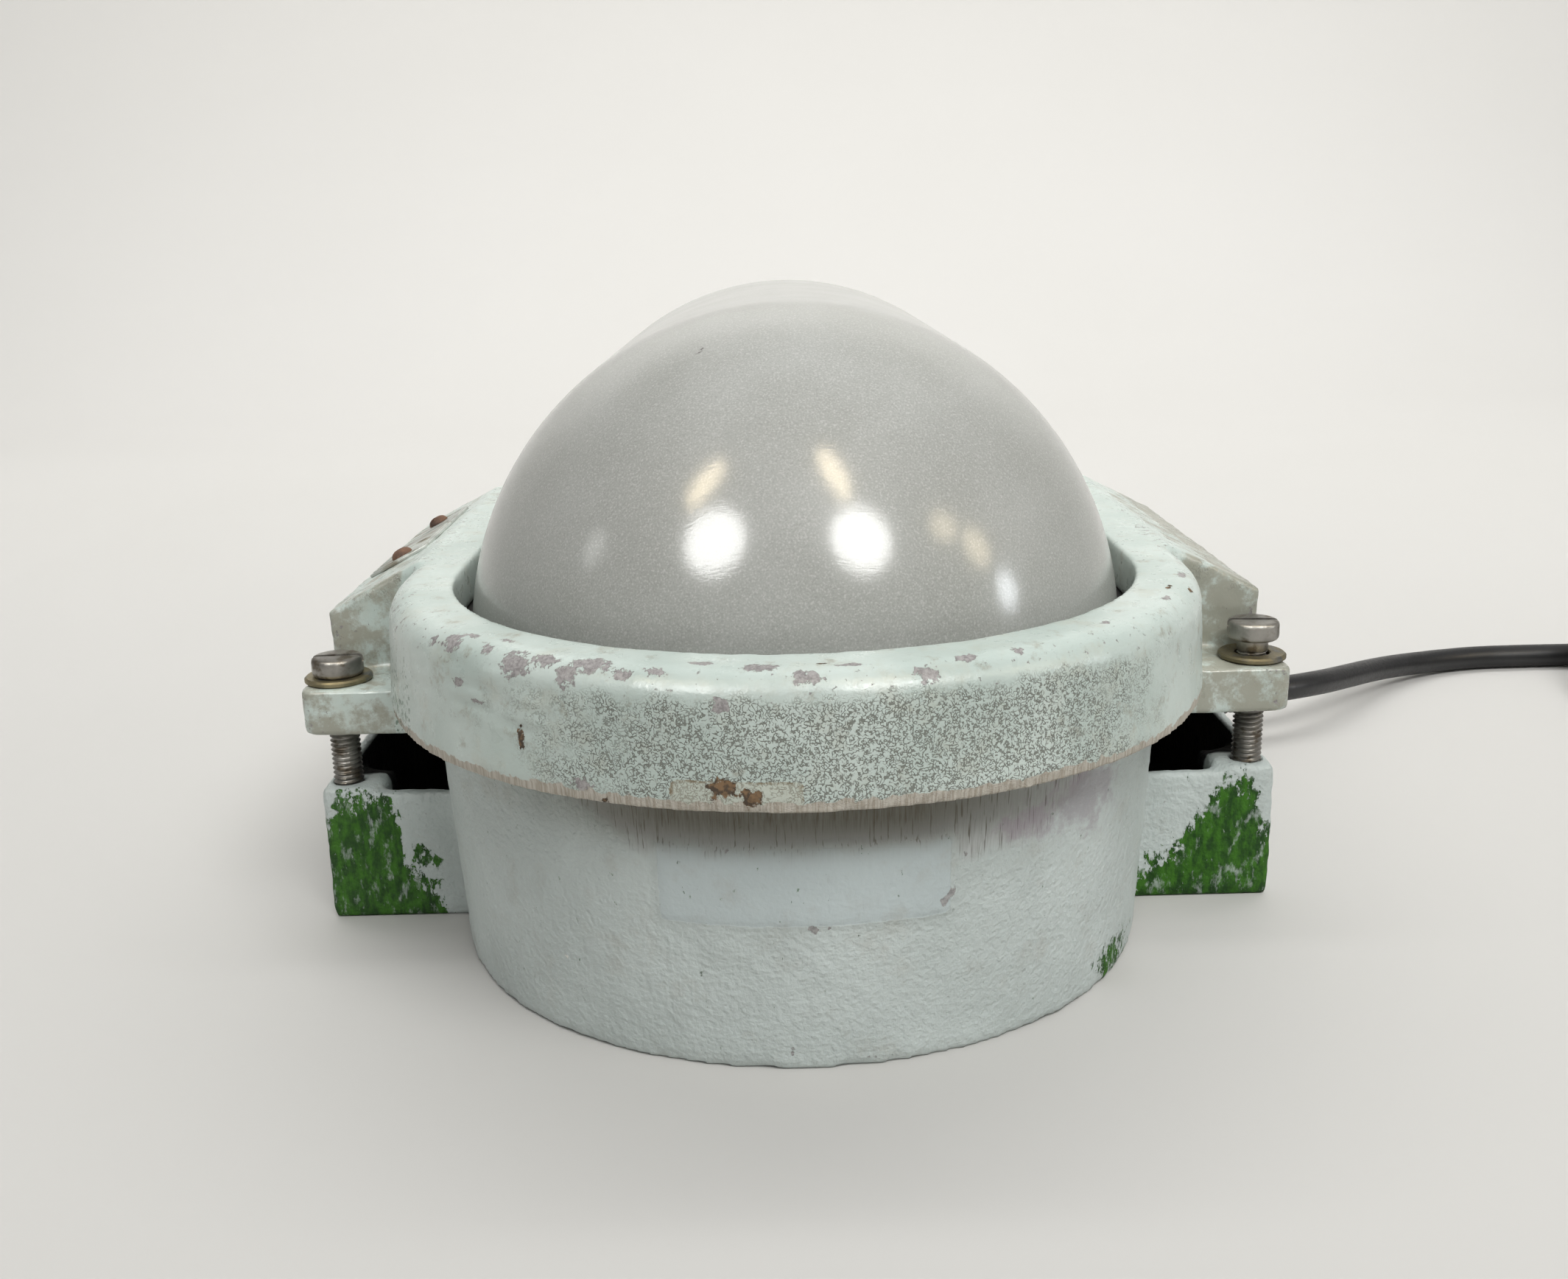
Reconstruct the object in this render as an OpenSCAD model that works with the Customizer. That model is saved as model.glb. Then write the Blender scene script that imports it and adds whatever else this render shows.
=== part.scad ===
// Elongated cast-aluminium bulkhead luminaire with a frosted glass dome,
// lying on its back face. Origin: centre of the back face, +Z out of the wall
// towards the glass, +Y along the length, +X across the width. Millimetres.

/* [Housing] */
// Distance between the centres of the two round ends
straight = 145; // [130:5:160]
// Outer radius of the drum at the back face
drum_r = 85.7; // [84:0.1:86]
// Outer radius of the drum at its rim (draft of the casting)
drum_rim_r = 89.8; // [89:0.1:90]
// Height of the drum's rim above the back face
rim_z = 68; // [66:1:68]
// Wall thickness of the drum
wall = 5.5; // [4:0.5:6]
// Thickness of the floor
floor_t = 5; // [4:0.5:6]
// Half width over the side walls of the wings
wing_x = 119.5; // [118:0.5:120]
// Height of the wings' side walls
wing_z = 39; // [36:1:42]
// Height of the lugs that take the cover screws
lug_z = 34; // [30:1:36]

/* [Cover] */
// Outer radius of the cover ring at its lower edge
ring_r = 100; // [99:0.5:101]
// Height of the ring's lower edge
ring_low_z = 62.8; // [61:0.2:64]
// Height of the ring's flat top
ring_top_z = 90.6; // [88:0.2:92]
// Radius of the opening for the glass
opening_r = 83.3; // [82.5:0.1:84]
// Radius of the rounded outer edge of the ring
ring_fillet = 6.5; // [4:0.5:7]
// Half width over the cover's wings
cover_wing_x = 121; // [120:0.5:122]
// Height of the underside of the cover's wings
cover_wing_z = 50.5; // [49:0.5:52]
// Half width over the ears
ear_x = 124.5; // [123:0.5:125]
// Thickness of the ears
ear_t = 11.8; // [10:0.2:12]

/* [Glass] */
// Outer radius of the glass dome
glass_r = 79.7; // [78:0.1:80]
// Height of the centre of the dome's curve
glass_z = 75; // [74:0.5:76]
// Thickness of the glass
glass_t = 3.8; // [3:0.2:5]

/* [Cover screws] */
// Distance of the screws from the middle, across
screw_x = 117; // [116:0.5:118]
// Distance of the screws from the middle, along
screw_y = 69.5; // [69:0.5:70]
// Shank diameter
screw_d = 7.8; // [7.6:0.1:7.8]
// Head diameter
head_d = 13; // [12:0.5:13]
// Head height
head_h = 5; // [4:0.5:6]
// How far the front right screw stands unscrewed
raised = 3.5; // [0:0.5:5]

/* [Lamps] */
// Largest diameter of a lamp's glass
lamp_d = 55; // [50:1:58]
// Height of the lamps' axis
lamp_z = 84; // [82:1:86]

/* [Supply cord] */
// Diameter of the cord
cord_d = 8.5; // [8:0.1:8.6]
// Mean radius of the coil
coil_r = 46; // [46:0.5:48]

/* [Hidden] */
$fn = 64;

half = straight / 2;
// lugs and ears
lug_front = half + 5;
lug_in_x = 107;
lug_top_x = 122.3;
lug_low_x = 120;
lug_depth = 18.5;
lug_web_t = 3.5;
boss_r = 9.5;
boss_step = 1.5;
side_wall_t = 3.8;
wing_floor_t = 4;
ear_front = half + 7.4;
ear_top_z = cover_wing_z + ear_t;
ear_hole_r = 4.5;
cover_wing_y = half - 12;
cover_wing_low_x = cover_wing_x - 1;
slope_in_x = 96.5;
slope_out_z = 78;
shell_t = 4;
tap_r = screw_d / 2 + 0.1;
panel_w = 60;
panel_low_z = 34;
panel_high_z = 51;
panel_proud = 0.5;
// sealing faces
gasket_r1 = 80.7;
gasket_r2 = 85.8;
groove = 2;
flange_low_z = 72;
flange_top_z = 77;
flange_r = 90.5;
plate_low_z = 79;
skirt_in_r = 91.5;
// washers and screws
washer_t = 1.6;
washer_r = 8.5;
shank_len = 54;
slot_w = 1.7;
slot_deep = 2;
// glass clips
clip_y = 35;
clip_t = 1.6;
clip_x1 = 86.8;
clip_x2 = 98.4;
clip_hole_x = 95.6;
clip_w = 14;
// gear
tray_z = 42;
tray_t = 1.5;
tray_r = 74;
spacer_x = 52;
spacer_y = 108;
spacer_r = 6;
bracket_t = 2;
holder_r = 20;
holder_len = 44;
lamp_r = lamp_d / 2;
cap_r = 13;
cap_len = 25;
cap_start = 22;
lamp_len = 96;
fix_x = 50;
fix_y = 75;
fix_r = 3.25;
block_y = 40;
// gland and cord
entry_y = 45;
entry_z = 16;
entry_boss_x = 111;
nut_x = wing_x + 6;
boot_x = nut_x + 11;
cord_r = cord_d / 2;
coil_x = 345;
coil_y = 72;
layers = 3;
coil_out_r = coil_r + cord_r;
lie = cord_r + 0.05;
plug_z = 19;
exit_run = 40;
boot_route = [[boot_x, 45, 16], [143, 45.2, 16], [150, 46, 16], [157, 47.5, 16]];
boot_radii = [7.4, 6.8, 6, 5.3];
cord_route = [[157, 47.5, 16], [168, 51.5, 15.9], [178, 58, 15], [188, 67, 13.4], [200, 79.5, 11.2],
    [212, 92, 9], [225, 103.5, 7], [238, 112.5, 5.4], [251, 118.8, 4.5], [265, 122.2, lie],
    [282, 123, lie], [302, 122.8, lie], [324, 122.4, lie], [335, 122.3, lie]];
plug_x = coil_x + coil_out_r;
plug_route = [for (p = [[0, 21.3], [10, 21], [20, 20], [30, 19.2], [exit_run, plug_z]])
    [plug_x, coil_y - p[0], p[1]]];
plug_y = coil_y - exit_run;

// ---------- shared shapes ----------

// Points of an arc, for outlines
function arc(cx, cy, r, a1, a2, n = 8) =
    [for (i = [0 : n]) [cx + r * cos(a1 + (a2 - a1) * i / n), cy + r * sin(a1 + (a2 - a1) * i / n)]];

// Sweeps a section (distance from the centreline, height) round the whole long oval
module oval_sweep(len = straight) {
    for (turn = [0, 180]) rotate([0, 0, turn]) {
        translate([0, len / 2, 0]) rotate_extrude(angle = 180) children();
        translate([0, len / 2, 0]) rotate([90, 0, 0]) linear_extrude(len) children();
    }
}

// A flat plate with the long oval's outline
module oval_plate(r, z, t) {
    oval_sweep() translate([0, z]) square([r, t]);
}

module at_corners(x, y) {
    for (sx = [-1, 1], sy = [-1, 1]) translate([sx * x, sy * y, 0]) children();
}

// Copies a shape on the other side of the plane X = 0, Y = 0 or both
module both_x() { children(); mirror([1, 0, 0]) children(); }
module both_y() { children(); mirror([0, 1, 0]) children(); }

module along_x(x1, x2, y, z, r, r2 = undef) {
    translate([x1, y, z]) rotate([0, 90, 0])
        cylinder(h = x2 - x1, r1 = r, r2 = is_undef(r2) ? r : r2);
}

module along_y(y1, y2, x, z, r) {
    translate([x, y1, z]) rotate([-90, 0, 0]) cylinder(h = y2 - y1, r = r);
}

module hexagon(across, h) { cylinder(h = h, r = across / sqrt(3), $fn = 6); }

function unit(v) = v / norm(v);
function heading(p, i) = unit(p[min(i + 1, len(p) - 1)] - p[max(i - 1, 0)]);

// Sweeps a round section along points, with one radius for each point
module sweep(route, radii, sides = 10) {
    n = len(route);
    rings = [for (i = [0 : n - 1])
        let (t = heading(route, i), u = unit(cross([0, 0, 1], t)), v = cross(t, u))
        for (k = [0 : sides - 1])
            route[i] + radii[i] * (cos(360 * k / sides) * u + sin(360 * k / sides) * v)];
    walls = [for (i = [0 : n - 2], k = [0 : sides - 1])
        [i * sides + k, (i + 1) * sides + k, (i + 1) * sides + (k + 1) % sides,
            i * sides + (k + 1) % sides]];
    near_end = [for (k = [0 : sides - 1]) k];
    far_end = [for (k = [sides - 1 : -1 : 0]) (n - 1) * sides + k];
    polyhedron(concat(rings), concat(walls, [near_end], [far_end]), convexity = 10);
}

module tube(route, r, sides = 10) { sweep(route, [for (p = route) r], sides); }

// A slotted cheese-head screw whose head sits on the height z
module cheese_head(z, shank_r, len, head_r, head, slot, deep) {
    difference() {
        union() {
            translate([0, 0, z - len]) cylinder(h = len + 0.5, r = shank_r);
            rotate_extrude() polygon([[0, z], [head_r, z], [head_r, z + head * 0.82],
                [head_r - head * 0.18, z + head], [0, z + head]]);
        }
        translate([-head_r - 1, -slot / 2, z + head - deep]) cube([2 * head_r + 2, slot, deep + 1]);
    }
}

// ---------- base casting ----------

module drum_solid() {
    oval_sweep() polygon([[0, 0], [drum_r, 0], [drum_rim_r, rim_z], [0, rim_z]]);
}

module drum_hollow() {
    in_r = drum_r - wall;
    oval_sweep() polygon([[0, floor_t], [in_r, floor_t], [in_r + 3, rim_z - 10],
        [gasket_r1 - 2, rim_z - 6], [gasket_r1 - 2, rim_z + 1], [0, rim_z + 1]]);
}

// Shallow blank panel cast on the near end of the drum
module blank_panel() {
    intersection() {
        oval_sweep() polygon([[70, panel_low_z], [drum_r + panel_proud, 0],
            [drum_rim_r + panel_proud, rim_z], [70, rim_z]]);
        translate([-panel_w / 2, -half - drum_rim_r - 5, panel_low_z])
            cube([panel_w, 40, panel_high_z - panel_low_z]);
    }
}

module lug() {
    translate([0, -lug_front + lug_depth, 0]) rotate([90, 0, 0]) linear_extrude(lug_depth)
        polygon([[lug_in_x, 0], [lug_low_x, 0], [lug_top_x, lug_z], [lug_in_x, lug_z]]);
    translate([drum_r - 14, -lug_front, 0]) cube([lug_in_x - drum_r + 15, lug_web_t, lug_z]);
    intersection() {
        translate([screw_x, -screw_y, 0]) cylinder(h = lug_z + boss_step, r = boss_r);
        translate([lug_in_x - 5, -lug_front, 0]) cube([lug_top_x - lug_in_x + 5, 2 * lug_depth, 99]);
    }
}

module wing_side() {
    side_len = 2 * (lug_front - lug_depth + 1);
    translate([wing_x - side_wall_t, -side_len / 2, 0]) cube([side_wall_t, side_len, wing_z]);
    translate([drum_r - 5, -lug_front + 1, 0])
        cube([wing_x - drum_r + 4, 2 * lug_front - 2, wing_floor_t]);
    along_x(entry_boss_x, wing_x, entry_y, entry_z, 12);
}

module base_housing() color([0.66, 0.69, 0.70]) {
    difference() {
        union() {
            drum_solid();
            blank_panel();
            both_x() both_y() lug();
            both_x() wing_side();
        }
        drum_hollow();
        oval_sweep() translate([gasket_r1, rim_z - groove]) square([gasket_r2 - gasket_r1, 5]);
        at_corners(fix_x, fix_y) translate([0, 0, -1]) cylinder(h = floor_t + 2, r = fix_r);
        at_corners(screw_x, screw_y) translate([0, 0, 4]) cylinder(h = 60, r = tap_r);
        both_x() along_x(entry_boss_x - 1, wing_x + 1, entry_y, entry_z, 8.2);
        along_x(drum_r - wall - 6, drum_r + 2, entry_y, entry_z, 5.2);
        at_corners(spacer_x, spacer_y) translate([0, 0, 2]) cylinder(h = 6, r = 2.05);
    }
}

module base_gasket() color([0.12, 0.12, 0.12])
    oval_sweep() translate([gasket_r1, rim_z - groove]) square([gasket_r2 - gasket_r1, 5.8]);

// ---------- gear inside ----------

module tray_spacers() color([0.75, 0.76, 0.78])
    at_corners(spacer_x, spacer_y) difference() {
        translate([0, 0, floor_t]) cylinder(h = tray_z - floor_t, r = spacer_r);
        translate([0, 0, floor_t - 1]) cylinder(h = tray_z, r = 2.3);
    }

module gear_tray() color([0.93, 0.93, 0.90])
    difference() {
        oval_plate(tray_r, tray_z, tray_t);
        at_corners(spacer_x, spacer_y) translate([0, 0, tray_z - 1]) cylinder(h = 5, r = 2.3);
        for (sx = [-1, 1]) translate([sx * 16, 12, tray_z - 1]) cylinder(h = 5, r = 2.1);
        for (sx = [-1, 1]) translate([sx * 30, 0, tray_z - 1]) cylinder(h = 5, r = 7);
    }

module tray_screws() color([0.75, 0.76, 0.78])
    at_corners(spacer_x, spacer_y) cheese_head(tray_z + tray_t, 2, 40, 3.8, 2.8, 1.1, 1.2);

module holder_bracket() color([0.80, 0.81, 0.82])
    difference() {
        union() {
            translate([-25, -bracket_t / 2, tray_z + tray_t])
                cube([50, bracket_t, lamp_z + 22 - tray_z - tray_t]);
            translate([-25, -bracket_t / 2, tray_z + tray_t]) cube([50, 20, bracket_t]);
        }
        for (sx = [-1, 1]) translate([sx * 16, 12, tray_z]) cylinder(h = 6, r = 2.1);
        for (sx = [-1, 1]) along_y(-3, 3, sx * 14, lamp_z, 2.1);
        along_y(-3, 3, 0, lamp_z, 4);
    }

module bracket_screws() color([0.75, 0.76, 0.78])
    for (sx = [-1, 1]) translate([sx * 16, 12, 0])
        cheese_head(tray_z + tray_t + bracket_t, 1.9, 8, 3.5, 2.6, 1, 1.1);

module lampholder() {
    difference() {
        union() {
            along_y(1, 14, 0, lamp_z, 22);
            along_y(13.9, 1 + holder_len, 0, lamp_z, holder_r);
        }
        along_y(8, holder_len + 2, 0, lamp_z, 14.9);
    }
}

module lampholder_near() color([0.94, 0.93, 0.88]) mirror([0, 1, 0]) lampholder();
module lampholder_far() color([0.94, 0.93, 0.88]) lampholder();

module holder_shells() color([0.80, 0.66, 0.36])
    both_y() difference() {
        along_y(18, 40, 0, lamp_z, 14.6);
        along_y(17, 41, 0, lamp_z, 13.6);
    }

module holder_contacts() color([0.80, 0.66, 0.36])
    both_y() {
        along_y(8, 12, 0, lamp_z, 5);
        along_y(11.9, cap_start - 0.4, 0, lamp_z, 2.5);
    }

module terminal_block() color([0.90, 0.88, 0.80])
    difference() {
        translate([24, block_y - 18, floor_t]) cube([22, 36, 14]);
        for (k = [-1 : 1]) {
            along_x(23, 47, block_y + 11 * k, floor_t + 6, 2.6);
            translate([30, block_y + 11 * k, floor_t + 8]) cylinder(h = 8, r = 2);
            translate([40, block_y + 11 * k, floor_t + 8]) cylinder(h = 8, r = 2);
        }
    }

module terminal_screws() color([0.80, 0.66, 0.36])
    for (k = [-1 : 1], x = [30, 40]) translate([x, block_y + 11 * k, 0])
        cheese_head(floor_t + 12, 1.4, 3, 1.9, 1.4, 0.7, 0.7);

module earth_screw() color([0.80, 0.66, 0.36])
    translate([-50, 40, 0]) {
        translate([0, 0, floor_t]) hexagon(10, 4);
        translate([0, 0, floor_t + 4]) cylinder(h = 9, r = 2.5);
        translate([0, 0, floor_t + 8.5]) hexagon(8, 3.5);
    }

module wires_live() color([0.36, 0.20, 0.12]) {
    tube([[66, 46, 16], [60, 48, 15.5], [54, 50.5, 13], [49, 51, 11], [44, 51, 11]], 1.2, 8);
    tube([[26, 52.3, 11], [18, 51.5, 12], [5, 42, 18], [-1, 26, 26], [9, 8, 34], [27, 4.6, 38],
        [30, 3, 46], [27, 4, 56], [21, 6, 64], [16, 8, 68.5]], 1.2, 8);
    tube([[26, 49.7, 11], [18, 48.5, 12], [8, 39, 18], [3, 24, 26], [12, 3, 33], [27, -1, 38],
        [30, -1.5, 46], [27, -4, 56], [21, -6, 64], [16, -8, 68.5]], 1.2, 8);
}

module wires_neutral() color([0.16, 0.28, 0.55]) {
    tube([[66, 43.8, 16], [60, 42.6, 15.5], [54, 40.4, 13], [49, 40, 11], [44, 40, 11]], 1.2, 8);
    tube([[26, 41.3, 11], [16, 40, 11.5], [-6, 30, 14], [-20, 14, 24], [-27, 6, 34], [-30, 3.2, 46],
        [-27, 4, 56], [-21, 6, 64], [-16, 8, 68.5]], 1.2, 8);
    tube([[26, 38.7, 11], [16, 36.5, 11], [-8, 26, 13], [-22, 8, 24], [-28, -3, 34],
        [-30, -3.2, 46], [-27, -4, 56], [-21, -6, 64], [-16, -8, 68.5]], 1.2, 8);
}

module wire_earth() color([0.35, 0.55, 0.15])
    tube([[66, 45, 13.8], [60, 38, 10], [52, 29, 10.6], [49, 29, 11], [44, 29, 11]], 1.2, 8);

module cord_tail() color([0.06, 0.06, 0.06])
    along_x(67, wing_x + 4.5, entry_y, entry_z, 4.2);

// ---------- cable entry, cord and plug ----------

module cable_gland_body() color([0.10, 0.10, 0.10])
    difference() {
        union() {
            along_x(entry_boss_x, wing_x + 0.5, entry_y, entry_z, 8.1);
            translate([wing_x + 1.2, entry_y, entry_z]) rotate([0, 90, 0]) hexagon(22, 4.8);
            along_x(wing_x + 0.2, wing_x + 1.3, entry_y, entry_z, 8.1);
        }
        along_x(entry_boss_x - 1, nut_x + 1, entry_y, entry_z, 4.4);
    }

module gland_washer() color([0.08, 0.08, 0.08])
    difference() {
        along_x(wing_x, wing_x + 1.2, entry_y, entry_z, 10.8);
        along_x(wing_x - 1, wing_x + 2, entry_y, entry_z, 8.2);
    }

module gland_nut() color([0.10, 0.10, 0.10])
    difference() {
        union() {
            translate([nut_x, entry_y, entry_z]) rotate([0, 90, 0]) hexagon(20, 7);
            along_x(nut_x + 6.9, boot_x, entry_y, entry_z, 9.6, 8);
        }
        along_x(nut_x - 1, boot_x + 1, entry_y, entry_z, 4.4);
    }

module gland_boot() color([0.07, 0.07, 0.07])
    sweep(boot_route, boot_radii, 12);

module supply_cord() color([0.06, 0.06, 0.06]) tube(cord_route, cord_r, 12);

module plug_lead() color([0.06, 0.06, 0.06]) tube(plug_route, cord_r, 12);

module cord_coil() color([0.06, 0.06, 0.06])
    translate([coil_x, coil_y, 0]) rotate_extrude()
        translate([coil_r - cord_d, 0]) square([2 * cord_d, layers * cord_d + 0.1]);

module coil_ties() color([0.15, 0.15, 0.15])
    for (a = [60, 200]) translate([coil_x, coil_y, 0]) rotate([0, 0, a])
        translate([coil_r - cord_d - 0.9, -2, 0]) difference() {
            cube([2 * cord_d + 1.8, 4, layers * cord_d + 1]);
            translate([0.9, -1, -1]) cube([2 * cord_d, 6, layers * cord_d + 1.1]);
        }

module plug_body() color([0.08, 0.08, 0.08])
    translate([plug_x, plug_y, plug_z]) rotate([90, 0, 0]) {
        cylinder(h = 24, r1 = 5.6, r2 = 9);
        translate([0, 0, 23.9]) cylinder(h = 10, r1 = 9, r2 = 18.6);
        translate([0, 0, 33.8]) cylinder(h = 28, r = 18.6);
    }

module plug_pins() color([0.78, 0.78, 0.76])
    for (s = [-1, 1]) translate([plug_x, plug_y - 61.8, plug_z])
        translate([9.5 * s, 0, 0]) rotate([90, 0, 0]) {
            cylinder(h = 18, r = 2.4);
            translate([0, 0, 17.9]) sphere(r = 2.4);
        }

module blanking_plug() color([0.62, 0.64, 0.65])
    mirror([1, 0, 0]) {
        along_x(entry_boss_x + 1, wing_x + 1.3, entry_y, entry_z, 8.1);
        translate([wing_x + 1.2, entry_y, entry_z]) rotate([0, 90, 0]) hexagon(20, 3.4);
    }

module blanking_washer() color([0.08, 0.08, 0.08])
    mirror([1, 0, 0]) difference() {
        along_x(wing_x, wing_x + 1.2, entry_y, entry_z, 10.8);
        along_x(wing_x - 1, wing_x + 2, entry_y, entry_z, 8.2);
    }

// ---------- cover ----------

module ring_section() {
    side_x = ring_r - 1.2;
    polygon(concat([[skirt_in_r, ring_low_z], [ring_r, ring_low_z]],
        arc(side_x - ring_fillet, ring_top_z - ring_fillet, ring_fillet, 0, 90),
        [[opening_r, ring_top_z], [opening_r, plate_low_z], [skirt_in_r, plate_low_z]]));
}

module cover_wing() {
    difference() {
        translate([0, cover_wing_y, 0]) rotate([90, 0, 0]) linear_extrude(2 * cover_wing_y)
            polygon([[ring_r - 7, ring_low_z + 1], [slope_in_x - 2, ring_top_z], [slope_in_x, ring_top_z],
                [cover_wing_x, slope_out_z], [cover_wing_low_x, cover_wing_z],
                [ring_r - 7, cover_wing_z]]);
        translate([0, cover_wing_y - shell_t, 0]) rotate([90, 0, 0])
            linear_extrude(2 * (cover_wing_y - shell_t))
            polygon([[ring_r + 0.5, cover_wing_z - 1], [ring_r + 0.5, ring_top_z - 8],
                [cover_wing_x - shell_t, slope_out_z - 3], [cover_wing_low_x - shell_t, cover_wing_z - 1]]);
        translate([skirt_in_r - 5, -cover_wing_y - 1, cover_wing_z - 1])
            cube([9, 2 * cover_wing_y + 2, ring_low_z - cover_wing_z + 1]);
    }
}

module ear() {
    translate([96, -ear_front, cover_wing_z]) cube([ear_x - 96 - 3, ear_front - cover_wing_y + 1, ear_t]);
    translate([110, -ear_front + 3, cover_wing_z]) cube([ear_x - 110, ear_front - cover_wing_y - 3, ear_t]);
    translate([ear_x - 3, -ear_front + 3, cover_wing_z]) cylinder(h = ear_t, r = 3);
}

module cover_frame() color([0.80, 0.85, 0.82])
    difference() {
        union() {
            oval_sweep() ring_section();
            both_x() cover_wing();
            both_x() both_y() ear();
        }
        at_corners(screw_x, screw_y) translate([0, 0, cover_wing_z - 1]) cylinder(h = 40, r = ear_hole_r);
        both_x() both_y() translate([skirt_in_r - 1, clip_y - clip_w / 2 - 1, ring_low_z - 1])
            cube([8.6, clip_w + 2, flange_low_z - ring_low_z + 1]);
        at_corners(clip_hole_x, clip_y) translate([0, 0, 60]) cylinder(h = 24, r = 1.8);
        for (sy = [-1, 1]) translate(plate_screw_at(sy)) rotate([0, slope_angle, 0])
            translate([0, 0, -3]) cylinder(h = 6, r = 1.3);
    }

// The dome's section: a quarter circle, its foot and the flange
module glass_section() {
    difference() {
        intersection() {
            translate([0, glass_z]) circle(r = glass_r);
            translate([0, flange_low_z + 3]) square([glass_r + 1, glass_r + 10]);
        }
        translate([0, glass_z]) circle(r = glass_r - glass_t);
        translate([-1, flange_low_z]) square([glass_r - glass_t + 1, 3]);
    }
    translate([glass_r - glass_t, flange_low_z]) square([flange_r - glass_r + glass_t, 5]);
}

module glass_dome() color([0.78, 0.79, 0.77, 0.9]) oval_sweep() glass_section();

module glass_gasket() color([0.14, 0.14, 0.14])
    oval_sweep() translate([81, flange_top_z]) square([skirt_in_r - 81.3, plate_low_z - flange_top_z]);

module glass_clips() color([0.70, 0.71, 0.72])
    both_x() for (s = [-1, 1]) translate([0, s * clip_y, 0]) clip();

module clip() {
    difference() {
        translate([clip_x1, -clip_w / 2, flange_low_z - clip_t]) cube([clip_x2 - clip_x1, clip_w, clip_t]);
        translate([clip_hole_x, 0, flange_low_z - 5]) cylinder(h = 10, r = 2);
    }
}

module clip_screws() color([0.70, 0.71, 0.72])
    at_corners(clip_hole_x, clip_y) rotate([180, 0, 0]) translate([0, 0, -2 * flange_low_z])
        cheese_head(flange_low_z + clip_t, 1.75, 9, 3.4, 2.4, 0.9, 1);

module cover_washers() color([0.55, 0.50, 0.36])
    at_corners(screw_x, screw_y) difference() {
        translate([0, 0, ear_top_z]) cylinder(h = washer_t, r = washer_r);
        translate([0, 0, ear_top_z - 1]) cylinder(h = washer_t + 2, r = 4.4);
    }

slope_angle = -atan2(ring_top_z - slope_out_z, cover_wing_x - slope_in_x);
slope_mid = [-(slope_in_x + cover_wing_x) / 2, (ring_top_z + slope_out_z) / 2];
plate_y = 31;
plate_hole_y = 24.5;
function plate_screw_at(s) = [slope_mid[0], plate_hole_y * s, slope_mid[1]];

module rating_plate() color([0.82, 0.83, 0.80])
    translate([slope_mid[0], 0, slope_mid[1]]) rotate([0, slope_angle, 0])
        difference() {
            translate([-9, -plate_y, 0]) cube([18, 2 * plate_y, 0.9]);
            for (s = [-1, 1]) translate([0, plate_hole_y * s, -1]) cylinder(h = 3, r = 1.5);
        }

module plate_screws() color([0.45, 0.28, 0.18])
    for (s = [-1, 1]) translate(plate_screw_at(s)) rotate([0, slope_angle, 0])
        cheese_head(0.9, 1.2, 3.4, 3.1, 2, 0.9, 0.9);

// ---------- cover screws ----------

module cover_screw(sx, sy, lift = 0) color([0.42, 0.42, 0.42])
    translate([sx * screw_x, sy * screw_y, 0]) rotate([0, 0, 25 * sx + 40 * sy])
        cheese_head(ear_top_z + washer_t + lift, screw_d / 2, shank_len, head_d / 2, head_h, slot_w, slot_deep);

module cover_screw_near_left() cover_screw(-1, -1);
module cover_screw_near_right() cover_screw(1, -1, raised);
module cover_screw_far_left() cover_screw(-1, 1);
module cover_screw_far_right() cover_screw(1, 1);

// ---------- lamps ----------

module lamp_cap() {
    along_y(cap_start, cap_start + 3, 0, lamp_z, 5);
    along_y(cap_start + 2.9, cap_start + cap_len, 0, lamp_z, cap_r);
}

// The pear-shaped envelope, turned about the lamp's axis
module lamp_envelope() {
    ball_y = cap_start + lamp_len - lamp_r;
    neck_y = cap_start + cap_len;
    translate([0, 0, lamp_z]) rotate([-90, 0, 0]) difference() {
        union() {
            translate([0, 0, ball_y]) sphere(r = lamp_r);
            translate([0, 0, neck_y]) cylinder(h = ball_y - neck_y - 12, r1 = cap_r + 1, r2 = lamp_r - 3);
        }
        union() {
            translate([0, 0, ball_y]) sphere(r = lamp_r - 1.2);
            translate([0, 0, neck_y + 1.5]) cylinder(h = ball_y - neck_y - 13, r1 = cap_r - 0.5, r2 = lamp_r - 4.8);
        }
    }
}

module lamp_cap_near() color([0.80, 0.79, 0.72]) mirror([0, 1, 0]) lamp_cap();
module lamp_cap_far() color([0.80, 0.79, 0.72]) lamp_cap();
module lamp_glass_near() color([0.95, 0.95, 0.95, 0.5]) mirror([0, 1, 0]) lamp_envelope();
module lamp_glass_far() color([0.95, 0.95, 0.95, 0.5]) lamp_envelope();

base_housing();
base_gasket();
gear_tray();
tray_spacers();
tray_screws();
holder_bracket();
bracket_screws();
lampholder_near();
lampholder_far();
holder_shells();
holder_contacts();
terminal_block();
terminal_screws();
earth_screw();
wires_live();
wires_neutral();
wire_earth();
cord_tail();
cable_gland_body();
gland_washer();
gland_nut();
gland_boot();
supply_cord();
cord_coil();
plug_lead();
coil_ties();
plug_body();
plug_pins();
blanking_plug();
blanking_washer();
cover_frame();
glass_dome();
glass_gasket();
glass_clips();
clip_screws();
cover_washers();
rating_plate();
plate_screws();
cover_screw_near_left();
cover_screw_near_right();
cover_screw_far_left();
cover_screw_far_right();
lamp_cap_near();
lamp_glass_near();
lamp_cap_far();
lamp_glass_far();
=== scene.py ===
from math import cos, pi, radians, sin, sqrt

import bmesh
import bpy
import numpy as np
from mathutils import Matrix, Vector, noise


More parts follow.
